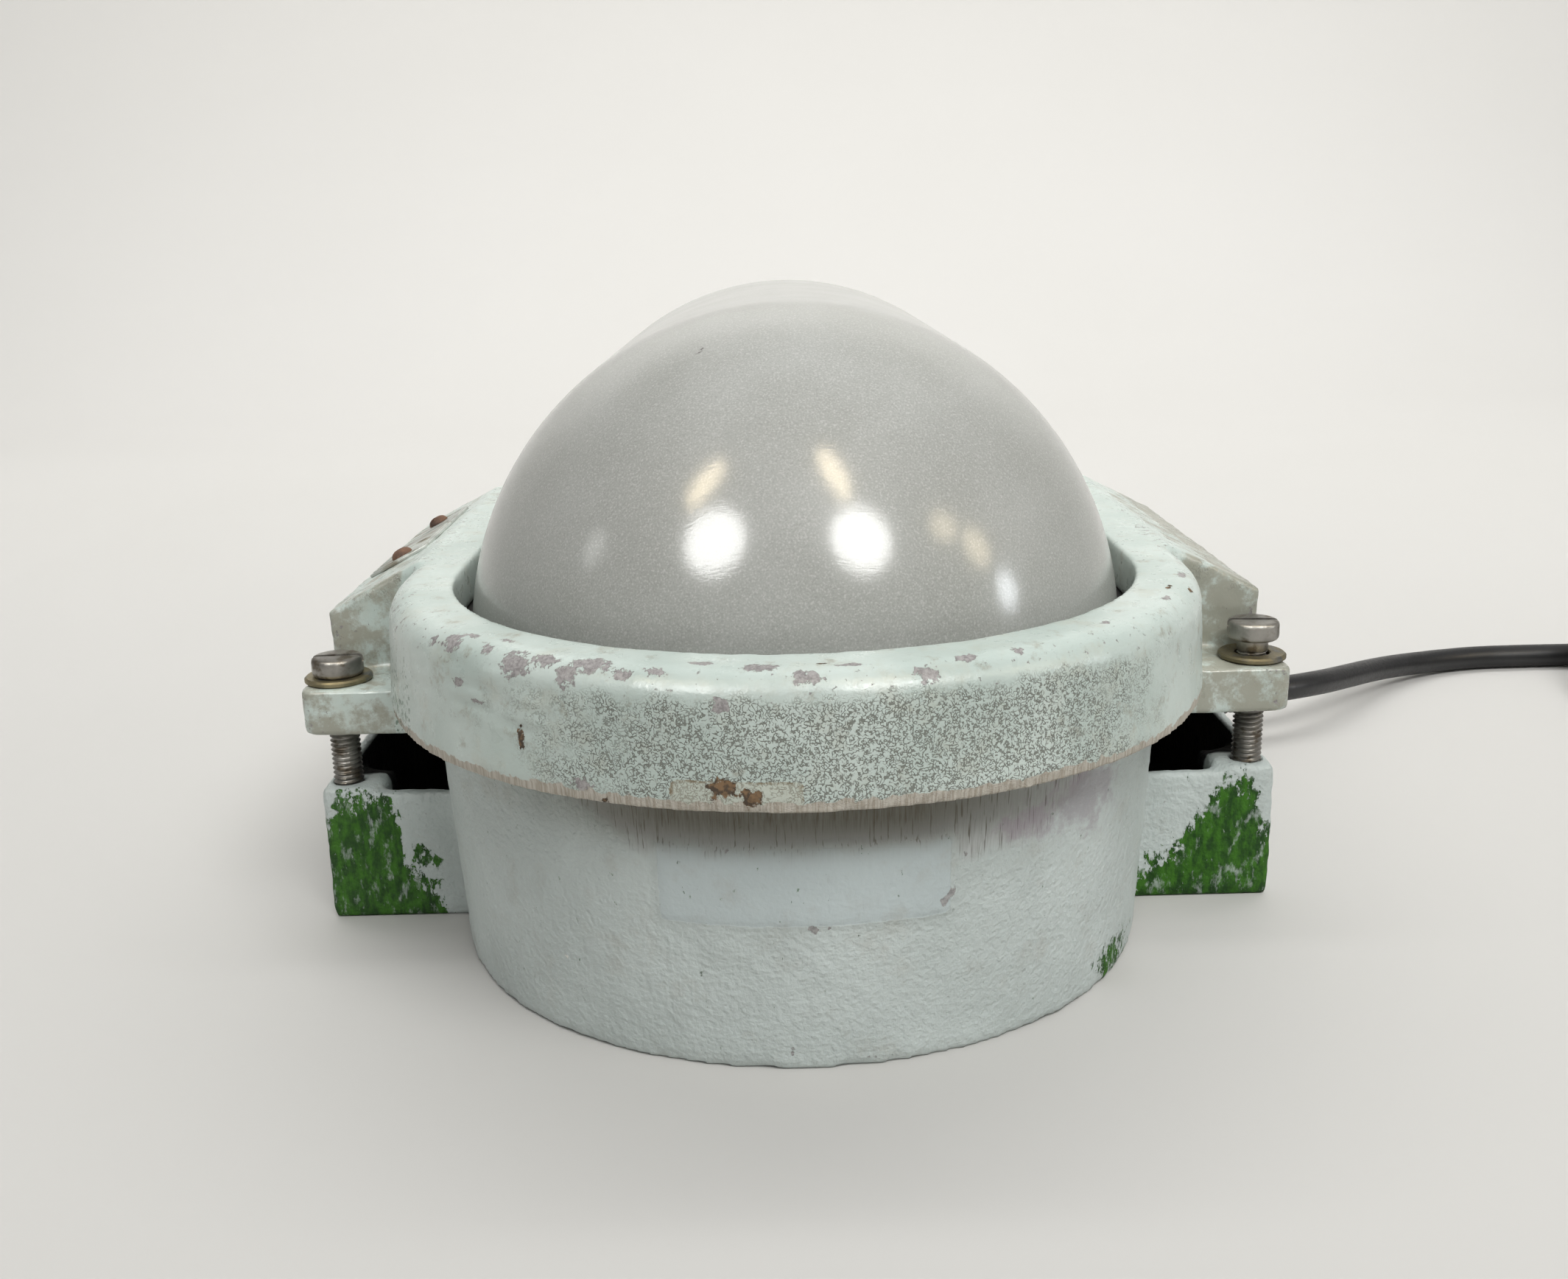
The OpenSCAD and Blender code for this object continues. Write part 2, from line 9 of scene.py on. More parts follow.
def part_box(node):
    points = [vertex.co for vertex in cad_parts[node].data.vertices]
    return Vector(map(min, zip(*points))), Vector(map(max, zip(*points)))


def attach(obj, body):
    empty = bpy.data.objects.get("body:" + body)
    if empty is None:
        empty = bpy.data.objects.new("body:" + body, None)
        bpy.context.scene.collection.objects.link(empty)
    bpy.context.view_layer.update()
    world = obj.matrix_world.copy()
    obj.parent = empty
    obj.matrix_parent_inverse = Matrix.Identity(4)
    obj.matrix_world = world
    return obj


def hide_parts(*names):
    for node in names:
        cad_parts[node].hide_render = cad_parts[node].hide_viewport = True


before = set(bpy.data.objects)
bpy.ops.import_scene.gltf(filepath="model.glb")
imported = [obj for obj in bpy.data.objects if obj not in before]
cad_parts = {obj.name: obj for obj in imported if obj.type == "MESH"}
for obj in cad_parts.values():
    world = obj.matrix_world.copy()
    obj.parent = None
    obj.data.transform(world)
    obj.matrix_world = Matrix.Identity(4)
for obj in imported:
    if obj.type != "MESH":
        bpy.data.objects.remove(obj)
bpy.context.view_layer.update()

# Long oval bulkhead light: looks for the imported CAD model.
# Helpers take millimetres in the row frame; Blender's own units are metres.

MM = 0.001
scene = bpy.context.scene


def box_mm(node):
    low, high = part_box(node)
    return low / MM, high / MM


def middle_mm(node):
    low, high = box_mm(node)
    return (low + high) / 2


# ---------- the camera and the cord ----------

def make_camera():
    """At the photograph's place, low in front of the near end, looking slightly down."""
    pitch, yaw, roll = radians(15.07), radians(0.15), radians(-1.4)
    forward = Vector((sin(yaw) * cos(pitch), cos(yaw) * cos(pitch), -sin(pitch)))
    right = Vector((cos(yaw), -sin(yaw), 0))
    up = right.cross(forward)
    across = cos(roll) * right + sin(roll) * up
    above = -sin(roll) * right + cos(roll) * up
    data = bpy.data.cameras.new("camera")
    data.sensor_width = 36
    data.lens = 35.12
    data.clip_start = 0.01
    camera = bpy.data.objects.new("camera", data)
    turn = Matrix((across, above, -forward)).transposed().to_4x4()
    camera.matrix_world = Matrix.Translation((-0.0038, -0.4463, 0.1715)) @ turn
    scene.collection.objects.link(camera)
    scene.camera = camera


CORD_D = 8.5
CORD_ROUTE = [(157, 47.5, 16), (168, 51.5, 15.9), (178, 58, 15), (188, 67, 13.4), (200, 79.5, 11.2),
              (212, 92, 9), (225, 103.5, 7), (238, 112.5, 5.4), (251, 118.8, 4.5), (265, 122.2, 4.3),
              (282, 123, 4.3), (302, 122.8, 4.3), (324, 122.4, 4.3), (335, 122.3, 4.3)]
PLUG_ROUTE = [(395.25, 62, 21), (395.25, 52, 20), (395.25, 42, 19.2), (395.25, 32, 19)]
COIL_X, COIL_Y = 345, 72
OUTER, INNER = 50.25, 41.75
LAYERS = (4.3, 12.8, 21.3)
# Each stretch of the coil: degrees clockwise from its far side, radii and layers at its ends
COIL = [(0, 300, OUTER, OUTER, 0, 0), (300, 360, OUTER, INNER, 0, 0), (360, 600, INNER, INNER, 0, 0),
        (600, 660, INNER, INNER, 0, 1), (660, 900, INNER, INNER, 1, 1), (900, 960, INNER, OUTER, 1, 1),
        (960, 1200, OUTER, OUTER, 1, 1), (1200, 1260, OUTER, OUTER, 1, 2), (1260, 1530, OUTER, OUTER, 2, 2)]


def ease(share):
    return share * share * (3 - 2 * share)


def coil_points(step=15):
    points = []
    for start, end, radius_1, radius_2, layer_1, layer_2 in COIL:
        for turn in range(start, end, step):
            share = ease((turn - start) / (end - start))
            radius = radius_1 + (radius_2 - radius_1) * share
            height = LAYERS[layer_1] + (LAYERS[layer_2] - LAYERS[layer_1]) * share
            across, along = radius * sin(radians(turn)), radius * cos(radians(turn))
            points.append((COIL_X + across, COIL_Y + along, height))
    points.append((COIL_X + OUTER, COIL_Y, LAYERS[2]))
    return points


def make_cord():
    """The whole supply cord, from the boot's tip through the coil to the plug."""
    route = CORD_ROUTE + coil_points() + PLUG_ROUTE
    curve = bpy.data.curves.new("supply_flex", "CURVE")
    curve.dimensions = "3D"
    curve.bevel_depth = 1.0
    curve.bevel_resolution = 6
    curve.resolution_u = 5
    curve.use_fill_caps = True
    spline = curve.splines.new("BEZIER")
    spline.bezier_points.add(len(route) - 1)
    for knot, place in zip(spline.bezier_points, route):
        knot.co = Vector(place) * MM
        knot.radius = CORD_D / 2 * MM
        knot.handle_left_type = knot.handle_right_type = "AUTO"
    cord = bpy.data.objects.new("supply_flex", curve)
    scene.collection.objects.link(cord)
    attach(cord, "base")
    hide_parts("supply_cord", "cord_coil", "plug_lead")
    return cord


make_camera()
cord = make_cord()

# ---------- sizes read from the frame ----------

glass_low, glass_high = box_mm("glass_dome")
HALF = ((glass_high.y - glass_low.y) - (glass_high.x - glass_low.x)) / 2
RING_R = box_mm("cover_frame")[1].y - HALF
RING_TOP = box_mm("cover_frame")[1].z
DOME_TOP = glass_high.z
FLANGE_R = glass_high.x
FLANGE_Z = glass_low.z
LUG_FRONT = -HALF - 5
ROUND_FROM = 84  # degrees either side of the near end's tip where the marks on its side stop
RING_FOOT = 60  # height from which the ring's side shows over the drum


# ---------- shapes: points and faces, in millimetres ----------

def bands(rings):
    """Faces between each ring and the next. A ring may be one point repeated."""
    faces = []
    for low, high in zip(rings, rings[1:]):
        for k in range(len(low)):
            j = (k + 1) % len(low)
            corners = list(dict.fromkeys((low[k], low[j], high[j], high[k])))
            if len(corners) > 2:
                faces.append(corners)
    return faces


def numbered(points, more):
    """Adds more points and gives the numbers that they get."""
    start = len(points)
    points += more
    return list(range(start, len(points)))


def turns(sides):
    return [2 * pi * k / sides for k in range(sides)]


def lathe(profile, sides=48, loop=False):
    """A profile of (radius, height) turned about Z. It runs upwards on the outside."""
    points, rings = [], []
    for radius, height in profile:
        if radius < 1e-6:
            rings.append(numbered(points, [Vector((0, 0, height))]) * sides)
        else:
            rings.append(numbered(points, [Vector((radius * cos(turn), radius * sin(turn), height))
                                           for turn in turns(sides)]))
    if loop:
        rings.append(rings[0])
    return points, bands(rings)


def sweep(route, radii, sides=24):
    """A round tube along a route, closed at both ends, with a radius for each point."""
    points, rings = [], []
    side = Vector((0, 0, 1))
    for i, place in enumerate(route):
        ahead = (route[min(i + 1, len(route) - 1)] - route[max(i - 1, 0)]).normalized()
        side = (side - side.dot(ahead) * ahead).normalized()
        other = ahead.cross(side)
        rings.append(numbered(points, [place + radii[i] * (cos(turn) * side + sin(turn) * other)
                                       for turn in turns(sides)]))
    rings.insert(0, numbered(points, [route[0].copy()]) * sides)
    rings.append(numbered(points, [route[-1].copy()]) * sides)
    return points, bands(rings)


def smooth_route(knots, steps):
    """Points along a Catmull-Rom curve through the knots."""
    knots = [Vector(k) for k in knots]
    ends = [2 * knots[0] - knots[1]] + knots + [2 * knots[-1] - knots[-2]]
    route = []
    for a, b, c, d in zip(ends, ends[1:], ends[2:], ends[3:]):
        for i in range(steps):
            t = i / steps
            route.append(0.5 * (2 * b + (c - a) * t + (2 * a - 5 * b + 4 * c - d) * t * t
                                + (3 * b - a - 3 * c + d) * t ** 3))
    return route + [knots[-1]]


def block(size, centre=(0, 0, 0), bevel=0.4, segments=2):
    """A box with rounded edges."""
    made = bmesh.new()
    bmesh.ops.create_cube(made, size=1)
    bmesh.ops.scale(made, vec=size, verts=made.verts)
    bmesh.ops.bevel(made, geom=made.edges, offset=bevel, segments=segments, profile=0.5, affect="EDGES")
    bmesh.ops.translate(made, vec=centre, verts=made.verts)
    points = [v.co.copy() for v in made.verts]
    faces = [[v.index for v in f.verts] for f in made.faces]
    made.free()
    return points, faces


def placed(shape, matrix):
    points, faces = shape
    return [matrix @ p for p in points], faces


def joined(*shapes):
    points, faces = [], []
    for more_points, more_faces in shapes:
        faces += [[k + len(points) for k in face] for face in more_faces]
        points += more_points
    return points, faces


def at(x, y, z):
    return Matrix.Translation((x, y, z))


def spun(turn):
    """A turn about Z in degrees."""
    return Matrix.Rotation(radians(turn), 4, "Z")


def along_y(x, y, z, sign):
    """Turns a lathe's height to run along +Y or -Y from a place."""
    return at(x, y, z) @ Matrix.Rotation(-sign * pi / 2, 4, "X")


def along_x(x, y, z):
    return at(x, y, z) @ Matrix.Rotation(pi / 2, 4, "Y")


def round_edges(profile, radius, steps=3):
    """Rounds the inner corners of an open profile."""
    out = [profile[0]]
    for before, corner, after in zip(profile, profile[1:], profile[2:]):
        b, c, a = Vector(before), Vector(corner), Vector(after)
        reach = min(radius, 0.45 * (b - c).length, 0.45 * (a - c).length)
        start, end = c + (b - c).normalized() * reach, c + (a - c).normalized() * reach
        for i in range(steps + 1):
            t = i / steps
            out.append(tuple((1 - t) ** 2 * start + 2 * t * (1 - t) * c + t * t * end))
    return out + [profile[-1]]


def threaded_rod(radius, pitch, depth, low, high, sides=20):
    """A rod about Z with a helical thread."""
    steps = int((high - low) / pitch * 8)
    points, rings = [Vector((0, 0, low))], [[0] * sides]
    for i in range(steps + 1):
        height = low + (high - low) * i / steps
        ring = []
        for k, turn in enumerate(turns(sides)):
            phase = (height / pitch - k / sides) % 1
            cut = radius - depth * min(1, 1.5 * abs(2 * phase - 1))
            ring.append(Vector((cut * cos(turn), cut * sin(turn), height)))
        rings.append(numbered(points, ring))
    rings.append(numbered(points, [Vector((0, 0, high))]) * sides)
    return points, bands(rings)


# ---------- pieces ----------

def mesh_object(name, shape, smooth=True):
    points, faces = shape
    mesh = bpy.data.meshes.new(name)
    mesh.from_pydata([p * MM for p in points], [], faces)
    mesh.polygons.foreach_set("use_smooth", [smooth] * len(mesh.polygons))
    mesh.update()
    piece = bpy.data.objects.new(name, mesh)
    scene.collection.objects.link(piece)
    return piece


def settle(piece):
    """Applies a piece's modifiers."""
    graph = bpy.context.evaluated_depsgraph_get()
    piece.data = bpy.data.meshes.new_from_object(piece.evaluated_get(graph))
    piece.modifiers.clear()


def crisp(piece, angle):
    """Smooth shading that keeps edges sharper than the angle."""
    piece.data.polygons.foreach_set("use_smooth", [True] * len(piece.data.polygons))
    piece.data.set_sharp_from_angle(angle=radians(angle))


def carved(shape, cut):
    """A shape with a closed shape cut out of it."""
    piece, tool = mesh_object("carved", shape), mesh_object("tool", cut)
    boolean = piece.modifiers.new("cut", "BOOLEAN")
    boolean.operation = "DIFFERENCE"
    boolean.object = tool
    settle(piece)
    points = [v.co / MM for v in piece.data.vertices]
    faces = [list(f.vertices) for f in piece.data.polygons]
    bpy.data.objects.remove(tool)
    bpy.data.objects.remove(piece)
    return points, faces


def stands_for(piece, body, slot, material, *nodes):
    """Gives a new piece its body and material, and hides the CAD nodes that it replaces. Its slot is not
    used.
    """
    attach(piece, body)
    if nodes:
        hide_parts(*nodes)
    piece.data.materials.clear()
    piece.data.materials.append(material)
    return piece


def finished(name, shape, angle, body, slot, material, *nodes):
    """A new piece for CAD nodes, with the edges sharper than an angle kept crisp."""
    piece = mesh_object(name, shape)
    crisp(piece, angle)
    return stands_for(piece, body, slot, material, *nodes)


# ---------- material helpers ----------

class Tree:
    """A shader node tree, with a short method for each kind of node. Sizes are in millimetres."""

    def __init__(self, owner, shader, **sockets):
        owner.use_nodes = True
        self.tree = owner.node_tree
        self.shader = self.tree.nodes[shader]
        for key, value in sockets.items():
            self.shader.inputs[key.replace("_", " ")].default_value = value

    def feed(self, socket, value):
        self.tree.links.new(value, self.shader.inputs[socket])

    def add(self, kind, inputs=None, **settings):
        made = self.tree.nodes.new("ShaderNode" + kind)
        for key, value in settings.items():
            setattr(made, key, value)
        for key, value in (inputs or {}).items():
            if isinstance(value, bpy.types.NodeSocket):
                self.tree.links.new(value, made.inputs[key])
            else:
                made.inputs[key].default_value = value
        return made

    def grain(self, size, detail=3.0, stretch=(1, 1, 1), rough=0.5, shift=0.0):
        """Noise from 0 to 1 with features of a size, longer along stretched axes."""
        place = self.add("TexCoord").outputs["Object"]
        scale = [1 / (size * MM * s) for s in stretch]
        moved = self.add("Mapping", {"Vector": place, "Scale": scale, "Location": (shift, shift, shift)})
        noises = {"Vector": moved.outputs[0], "Scale": 1.0, "Detail": detail, "Roughness": rough}
        return self.add("TexNoise", noises).outputs[0]

    def calc(self, operation, a, b=0.0):
        return self.add("Math", {0: a, 1: b}, operation=operation).outputs[0]

    def times(self, a, b):
        return self.calc("MULTIPLY", a, b)

    def most(self, a, b):
        return self.calc("MAXIMUM", a, b)

    def rest_of(self, value):
        return self.calc("SUBTRACT", 1.0, value)

    def rise(self, value, low, high):
        """0 below low and 1 above high, smooth between."""
        ends = {"Value": value, "From Min": low, "From Max": high}
        return self.add("MapRange", ends, interpolation_type="SMOOTHSTEP").outputs[0]

    def spread(self, value, low, high):
        """Noise of 0.3 to 0.7 spread over low to high."""
        ends = {"Value": value, "From Min": 0.3, "From Max": 0.7, "To Min": low, "To Max": high}
        return self.add("MapRange", ends).outputs[0]

    def over(self, factor, under, top):
        """Colour top laid over colour under."""
        colours = {key: value if isinstance(value, bpy.types.NodeSocket) else (*value, 1)
                   for key, value in ((6, under), (7, top))}
        return self.add("Mix", {0: factor, **colours}, data_type="RGBA").outputs[2]

    def tint(self, paint, factor, amount, colour):
        """Paint with a share of a colour laid over it."""
        return self.over(self.times(factor, amount), paint, colour)

    def mark(self, name):
        return self.add("Attribute", attribute_name=name).outputs["Fac"]

    def ragged(self, field, wobble, amount, edge=0.03):
        """A torn-edged patch where a mark's field, moved by noise, passes one half."""
        moved = self.calc("ADD", field, self.spread(wobble, -amount, amount))
        return self.rise(moved, 0.5 - edge, 0.5 + edge)

    def relief(self, height, depth, normal=None, socket="Normal"):
        """Bump whose height of 0 to 1 stands for a depth."""
        inputs = {"Height": height, "Distance": depth * MM, "Strength": 1.0}
        if normal is not None:
            inputs["Normal"] = normal
        made = self.add("Bump", inputs).outputs[0]
        self.feed(socket, made)
        return made


def new_material(name, **sockets):
    """A material and its tree; keyword names are the shader's sockets with _ for spaces."""
    material = bpy.data.materials.new(name)
    return material, Tree(material, "Principled BSDF", **sockets)


def plain(slot):
    """The frame's own even material for a slot."""
    return bpy.data.materials[slot]


def simple(name, colour, roughness, size=3.0, vary=0.12, depth=0.03, dirt=None, **sockets):
    """A worked material: colour and gloss vary over a grain of a size in millimetres."""
    material, t = new_material(name, **sockets)
    patches = t.grain(size * 4, 4)
    fine = t.grain(size / 3, 3)
    dark = tuple(c * (1 - vary) for c in colour)
    light = tuple(min(1, c * (1 + vary)) for c in colour)
    shade = t.over(t.rise(patches, 0.35, 0.65), dark, light)
    if dirt:
        shade = t.over(t.rise(t.grain(size * 2, 6, shift=3), 0.52, 0.66), shade, dirt)
    t.feed("Base Color", shade)
    t.feed("Roughness", t.spread(fine, roughness - 0.07, roughness + 0.07))
    t.relief(fine, depth)
    return material


# ---------- painted castings ----------

CHIP_SCALE = 0.86  # share of a mark's listed half sizes at which its field is one half
CHIP_DARK, CHIP_LIGHT = (0.22, 0.205, 0.205), (0.40, 0.38, 0.375)
RUST_DARK, RUST_LIGHT = (0.05, 0.030, 0.014), (0.20, 0.115, 0.05)
GREEN_DARK, GREEN_LIGHT = (0.007, 0.048, 0.002), (0.038, 0.150, 0.005)
# Painted shade: near-black laid inside the wing hollows, which are dark only by shadow.
PAINTED_SHADE_BLACK = (0.006, 0.006, 0.0055)


def metal_under_chips(t):
    return t.over(t.rise(t.grain(0.9, 5, rough=0.7), 0.35, 0.65), CHIP_DARK, CHIP_LIGHT)


def cover_paint():
    """Old mint gloss paint with chips, worm-like pits on the ring's side and a bare machined lip."""
    material, t = new_material("cover_paint", Specular_IOR_Level=0.5)
    broad = t.grain(30, 4)
    fine = t.grain(1.0, 3)
    tear = t.grain(1.6, 7, rough=0.66)
    paint = t.over(t.rise(broad, 0.35, 0.65), (0.49, 0.57, 0.53), (0.59, 0.665, 0.625))
    grime = t.rise(t.grain(9, 7, rough=0.65, shift=5), 0.50, 0.72)
    paint = t.tint(paint, grime, 0.35, (0.46, 0.45, 0.36))
    smudge = t.ragged(t.mark("dirty"), t.grain(7, 7, rough=0.7, shift=4), 0.7, 0.3)
    paint = t.tint(paint, smudge, 0.7, (0.27, 0.24, 0.175))
    squiggle = t.grain(0.62, 1.0, rough=0.3)
    line = t.rise(t.calc("ABSOLUTE", t.calc("SUBTRACT", squiggle, 0.5)), 0.10, 0.04)
    broken = t.rise(t.grain(1.1, 2, shift=9), 0.34, 0.48)
    where = t.ragged(t.mark("worms"), t.grain(6, 4, shift=2), 0.30, 0.35)
    worms = t.times(t.times(line, broken), where)
    paint = t.tint(paint, worms, 0.92, (0.155, 0.165, 0.14))
    old = t.ragged(t.mark("coat"), tear, 0.10, 0.05)
    paint = t.tint(paint, old, 0.45, (0.53, 0.52, 0.42))
    outline = t.times(old, t.rest_of(t.rise(t.mark("coat"), 0.6, 0.95)))
    outline = t.times(outline, t.rise(t.grain(1.5, 5, shift=6), 0.42, 0.6))
    paint = t.tint(paint, outline, 0.9, (0.20, 0.15, 0.08))
    lip = t.ragged(t.mark("lip"), t.grain(3.5, 5, shift=1), 0.42, 0.05)
    scratched = t.rise(t.grain(0.5, 3, (1, 1, 30)), 0.35, 0.65)
    beige = t.over(scratched, (0.36, 0.32, 0.26), (0.52, 0.49, 0.43))
    paint = t.over(lip, paint, beige)
    # Green paint with painted shadow: a dark green line where the ring meets the left wing.
    green_and_painted_shadow_line = t.ragged(t.mark("green"), tear, 0.45, 0.04)
    paint = t.tint(paint, green_and_painted_shadow_line, 0.7, (0.03, 0.10, 0.05))
    field = t.most(t.mark("chip"), t.times(t.mark("worn"), 0.34))
    moved = t.calc("ADD", field, t.spread(tear, -0.36, 0.36))
    chip = t.rise(moved, 0.50, 0.53)
    rim = t.rise(moved, 0.45, 0.51)
    paint = t.tint(paint, rim, 0.45, (0.30, 0.29, 0.25))
    paint = t.over(chip, paint, metal_under_chips(t))
    rust = t.ragged(t.mark("rust"), tear, 0.42, 0.06)
    browns = t.over(t.rise(t.grain(1.2, 5), 0.4, 0.62), RUST_DARK, RUST_LIGHT)
    paint = t.over(rust, paint, browns)
    # Painted shade: the insides of the wing hollows are painted near-black.
    paint = t.over(t.mark("painted_shade_hollow"), paint, PAINTED_SHADE_BLACK)
    t.feed("Base Color", paint)
    gloss = t.spread(t.grain(4, 4, shift=7), 0.24, 0.40)
    dull = t.most(t.times(where, 0.52), t.times(t.most(lip, rust), 0.7))
    dull = t.most(dull, t.times(chip, 0.46))
    t.feed("Roughness", t.most(gloss, dull))
    sunk = t.most(chip, t.times(worms, 0.6))
    sunk = t.most(sunk, t.times(rust, 0.8))
    first = t.relief(t.rest_of(sunk), 0.14)
    t.relief(t.calc("ADD", fine, t.times(tear, 0.8)), 0.07, first)
    return material


def base_paint():
    """Thin blue-grey paint over a rough casting, rubbed bare in a band, with green brush marks, and grime
    with a painted shadow under the ring.
    """
    material, t = new_material("base_paint", Specular_IOR_Level=0.35)
    broad = t.grain(35, 4)
    tear = t.grain(2.4, 7, rough=0.62)
    paint = t.over(t.rise(broad, 0.35, 0.65), (0.505, 0.56, 0.545), (0.58, 0.64, 0.625))
    blue = t.ragged(t.mark("panel"), tear, 0.12, 0.12)
    paint = t.tint(paint, blue, 0.5, (0.49, 0.565, 0.59))
    grime = t.rise(t.grain(12, 7, rough=0.68, shift=5), 0.52, 0.72)
    paint = t.tint(paint, grime, 0.28, (0.38, 0.36, 0.31))
    bare = t.ragged(t.mark("bare"), t.grain(6, 5, shift=1), 0.24, 0.45)
    streaks = t.grain(0.36, 3, (1, 1, 120), 0.6)
    metal = t.over(t.rise(streaks, 0.34, 0.66), (0.36, 0.365, 0.35), (0.50, 0.515, 0.51))
    paint = t.over(t.times(bare, 0.8), paint, metal)
    deep = t.rise(t.grain(0.45, 2, (1, 1, 60), shift=4), 0.59, 0.67)
    paint = t.tint(paint, deep, t.times(bare, 0.85), (0.12, 0.11, 0.09))
    # Painted shadow under the ring's overhang, mixed with real grime: the drum's top band darkens towards
    # the ring.
    shade = t.times(t.mark("grime_and_painted_shadow"), t.spread(streaks, 0.72, 1.0))
    paint = t.over(shade, paint, (0.10, 0.088, 0.058))
    stain = t.ragged(t.mark("stain"), t.grain(4, 7, rough=0.7, shift=2), 0.40, 0.25)
    paint = t.tint(paint, stain, 0.5, (0.31, 0.245, 0.30))
    field = t.most(t.mark("dark"), t.times(t.mark("worn"), 0.38))
    dark = t.rise(t.calc("ADD", field, t.spread(tear, -0.36, 0.36)), 0.50, 0.54)
    paint = t.over(t.times(dark, 0.85), paint, metal_under_chips(t))
    white = t.ragged(t.mark("white"), tear, 0.3)
    paint = t.over(white, paint, (0.78, 0.78, 0.74))
    bristles = t.grain(1.5, 6, (1, 1, 1.8), 0.68, 6)
    green = t.ragged(t.mark("green"), bristles, 0.52, 0.07)
    dry = t.rise(t.grain(2.4, 6, (1, 1, 2.4), 0.68, 9), 0.53, 0.68)
    green = t.times(green, t.rest_of(t.times(dry, 0.55)))
    strokes = t.grain(2.0, 6, (1, 1, 2.5), 0.65, 8)
    body = t.over(t.rise(strokes, 0.36, 0.64), GREEN_DARK, GREEN_LIGHT)
    paint = t.over(green, paint, body)
    # Painted shade: the insides of the wing hollows are painted near-black.
    paint = t.over(t.mark("painted_shade_hollow"), paint, PAINTED_SHADE_BLACK)
    t.feed("Base Color", paint)
    gloss = t.most(t.spread(t.grain(3, 4, shift=7), 0.42, 0.56), t.mark("painted_shade_hollow"))
    t.feed("Roughness", t.most(gloss, t.times(green, 0.8)))
    even = t.most(t.times(bare, 0.8), t.times(blue, 0.55))
    cast = t.times(t.grain(1.4, 3), t.rest_of(even))
    first = t.relief(cast, 0.6)
    scored = t.times(streaks, bare)
    edges = t.calc("SUBTRACT", t.calc("ADD", green, scored), dark)
    t.relief(edges, 0.10, first)
    return material


def even_copy(node, name, voxel, passes=4):
    """A new piece with a CAD casting's shape in small even faces, its edges just rounded."""
    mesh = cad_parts[node].data.copy()
    piece = bpy.data.objects.new(name, mesh)
    scene.collection.objects.link(piece)
    remesh = piece.modifiers.new("remesh", "REMESH")
    remesh.mode = "VOXEL"
    remesh.voxel_size = voxel * MM
    remesh.use_smooth_shade = True
    smooth = piece.modifiers.new("smooth", "SMOOTH")
    smooth.factor = 0.5
    smooth.iterations = passes
    settle(piece)
    for old in ("UVMap", "UVMap.001"):
        layer = piece.data.uv_layers.get(old)
        if layer:
            piece.data.uv_layers.remove(layer)
    return piece


def places_of(piece):
    """Vertex places in millimetres and vertex normals."""
    mesh = piece.data
    places = np.empty(len(mesh.vertices) * 3, np.float32)
    normals = np.empty(len(mesh.vertices) * 3, np.float32)
    mesh.vertices.foreach_get("co", places)
    mesh.vertex_normals.foreach_get("vector", normals)
    return places.reshape(-1, 3) / MM, normals.reshape(-1, 3)


def put_places(piece, places):
    piece.data.vertices.foreach_set("co", (places * MM).astype(np.float32).ravel())
    piece.data.update()


def put_mark(piece, name, values):
    layer = piece.data.attributes.new(name, "FLOAT", "POINT")
    layer.data.foreach_set("value", np.clip(values, 0, 1).astype(np.float32))


def round_the_oval(places):
    """Distance from the long oval's centreline, and the angle from the near end's tip in degrees."""
    past = np.sign(places[:, 1]) * np.maximum(np.abs(places[:, 1]) - HALF, 0)
    return np.hypot(places[:, 0], past), np.degrees(np.arctan2(places[:, 0], -past))


def nose(angle, radius, height):
    """A place round the near end: the angle runs from its tip towards +X."""
    return np.array([radius * sin(radians(angle)), -HALF - radius * cos(radians(angle)), height])


def lumps(places, size, seed=0.0, stretch=(1, 1, 1)):
    """Smooth noise of about -1 to 1 at each place."""
    scaled = places / (size * np.array(stretch)) + seed
    return np.array([noise.noise(p) for p in scaled.tolist()])


def step_up(values, low, high):
    share = np.clip((values - low) / (high - low), 0, 1)
    return share * share * (3 - 2 * share)


def spots(places, marks):
    """A field that is 1 in the middle of each mark and falls away from it.

    A mark is an angle, radius, height, half length and half width.
    """
    best = np.zeros(len(places))
    for angle, radius, height, length, width in marks:
        away = places - nose(angle, radius, height)
        tangent = np.array([cos(radians(angle)), sin(radians(angle)), 0])
        along = away @ tangent
        rest = away - np.outer(along, tangent)
        gap = np.sqrt((along / length) ** 2 + (rest ** 2).sum(1) / width ** 2)
        best = np.maximum(best, 1 - 0.5 * gap / CHIP_SCALE)
    return best


def band(values, low, high, soft):
    """1 between low and high, one half at each and 0 beyond."""
    return np.clip(0.5 + np.minimum(values - low, high - values) / (2 * soft), 0, 1)


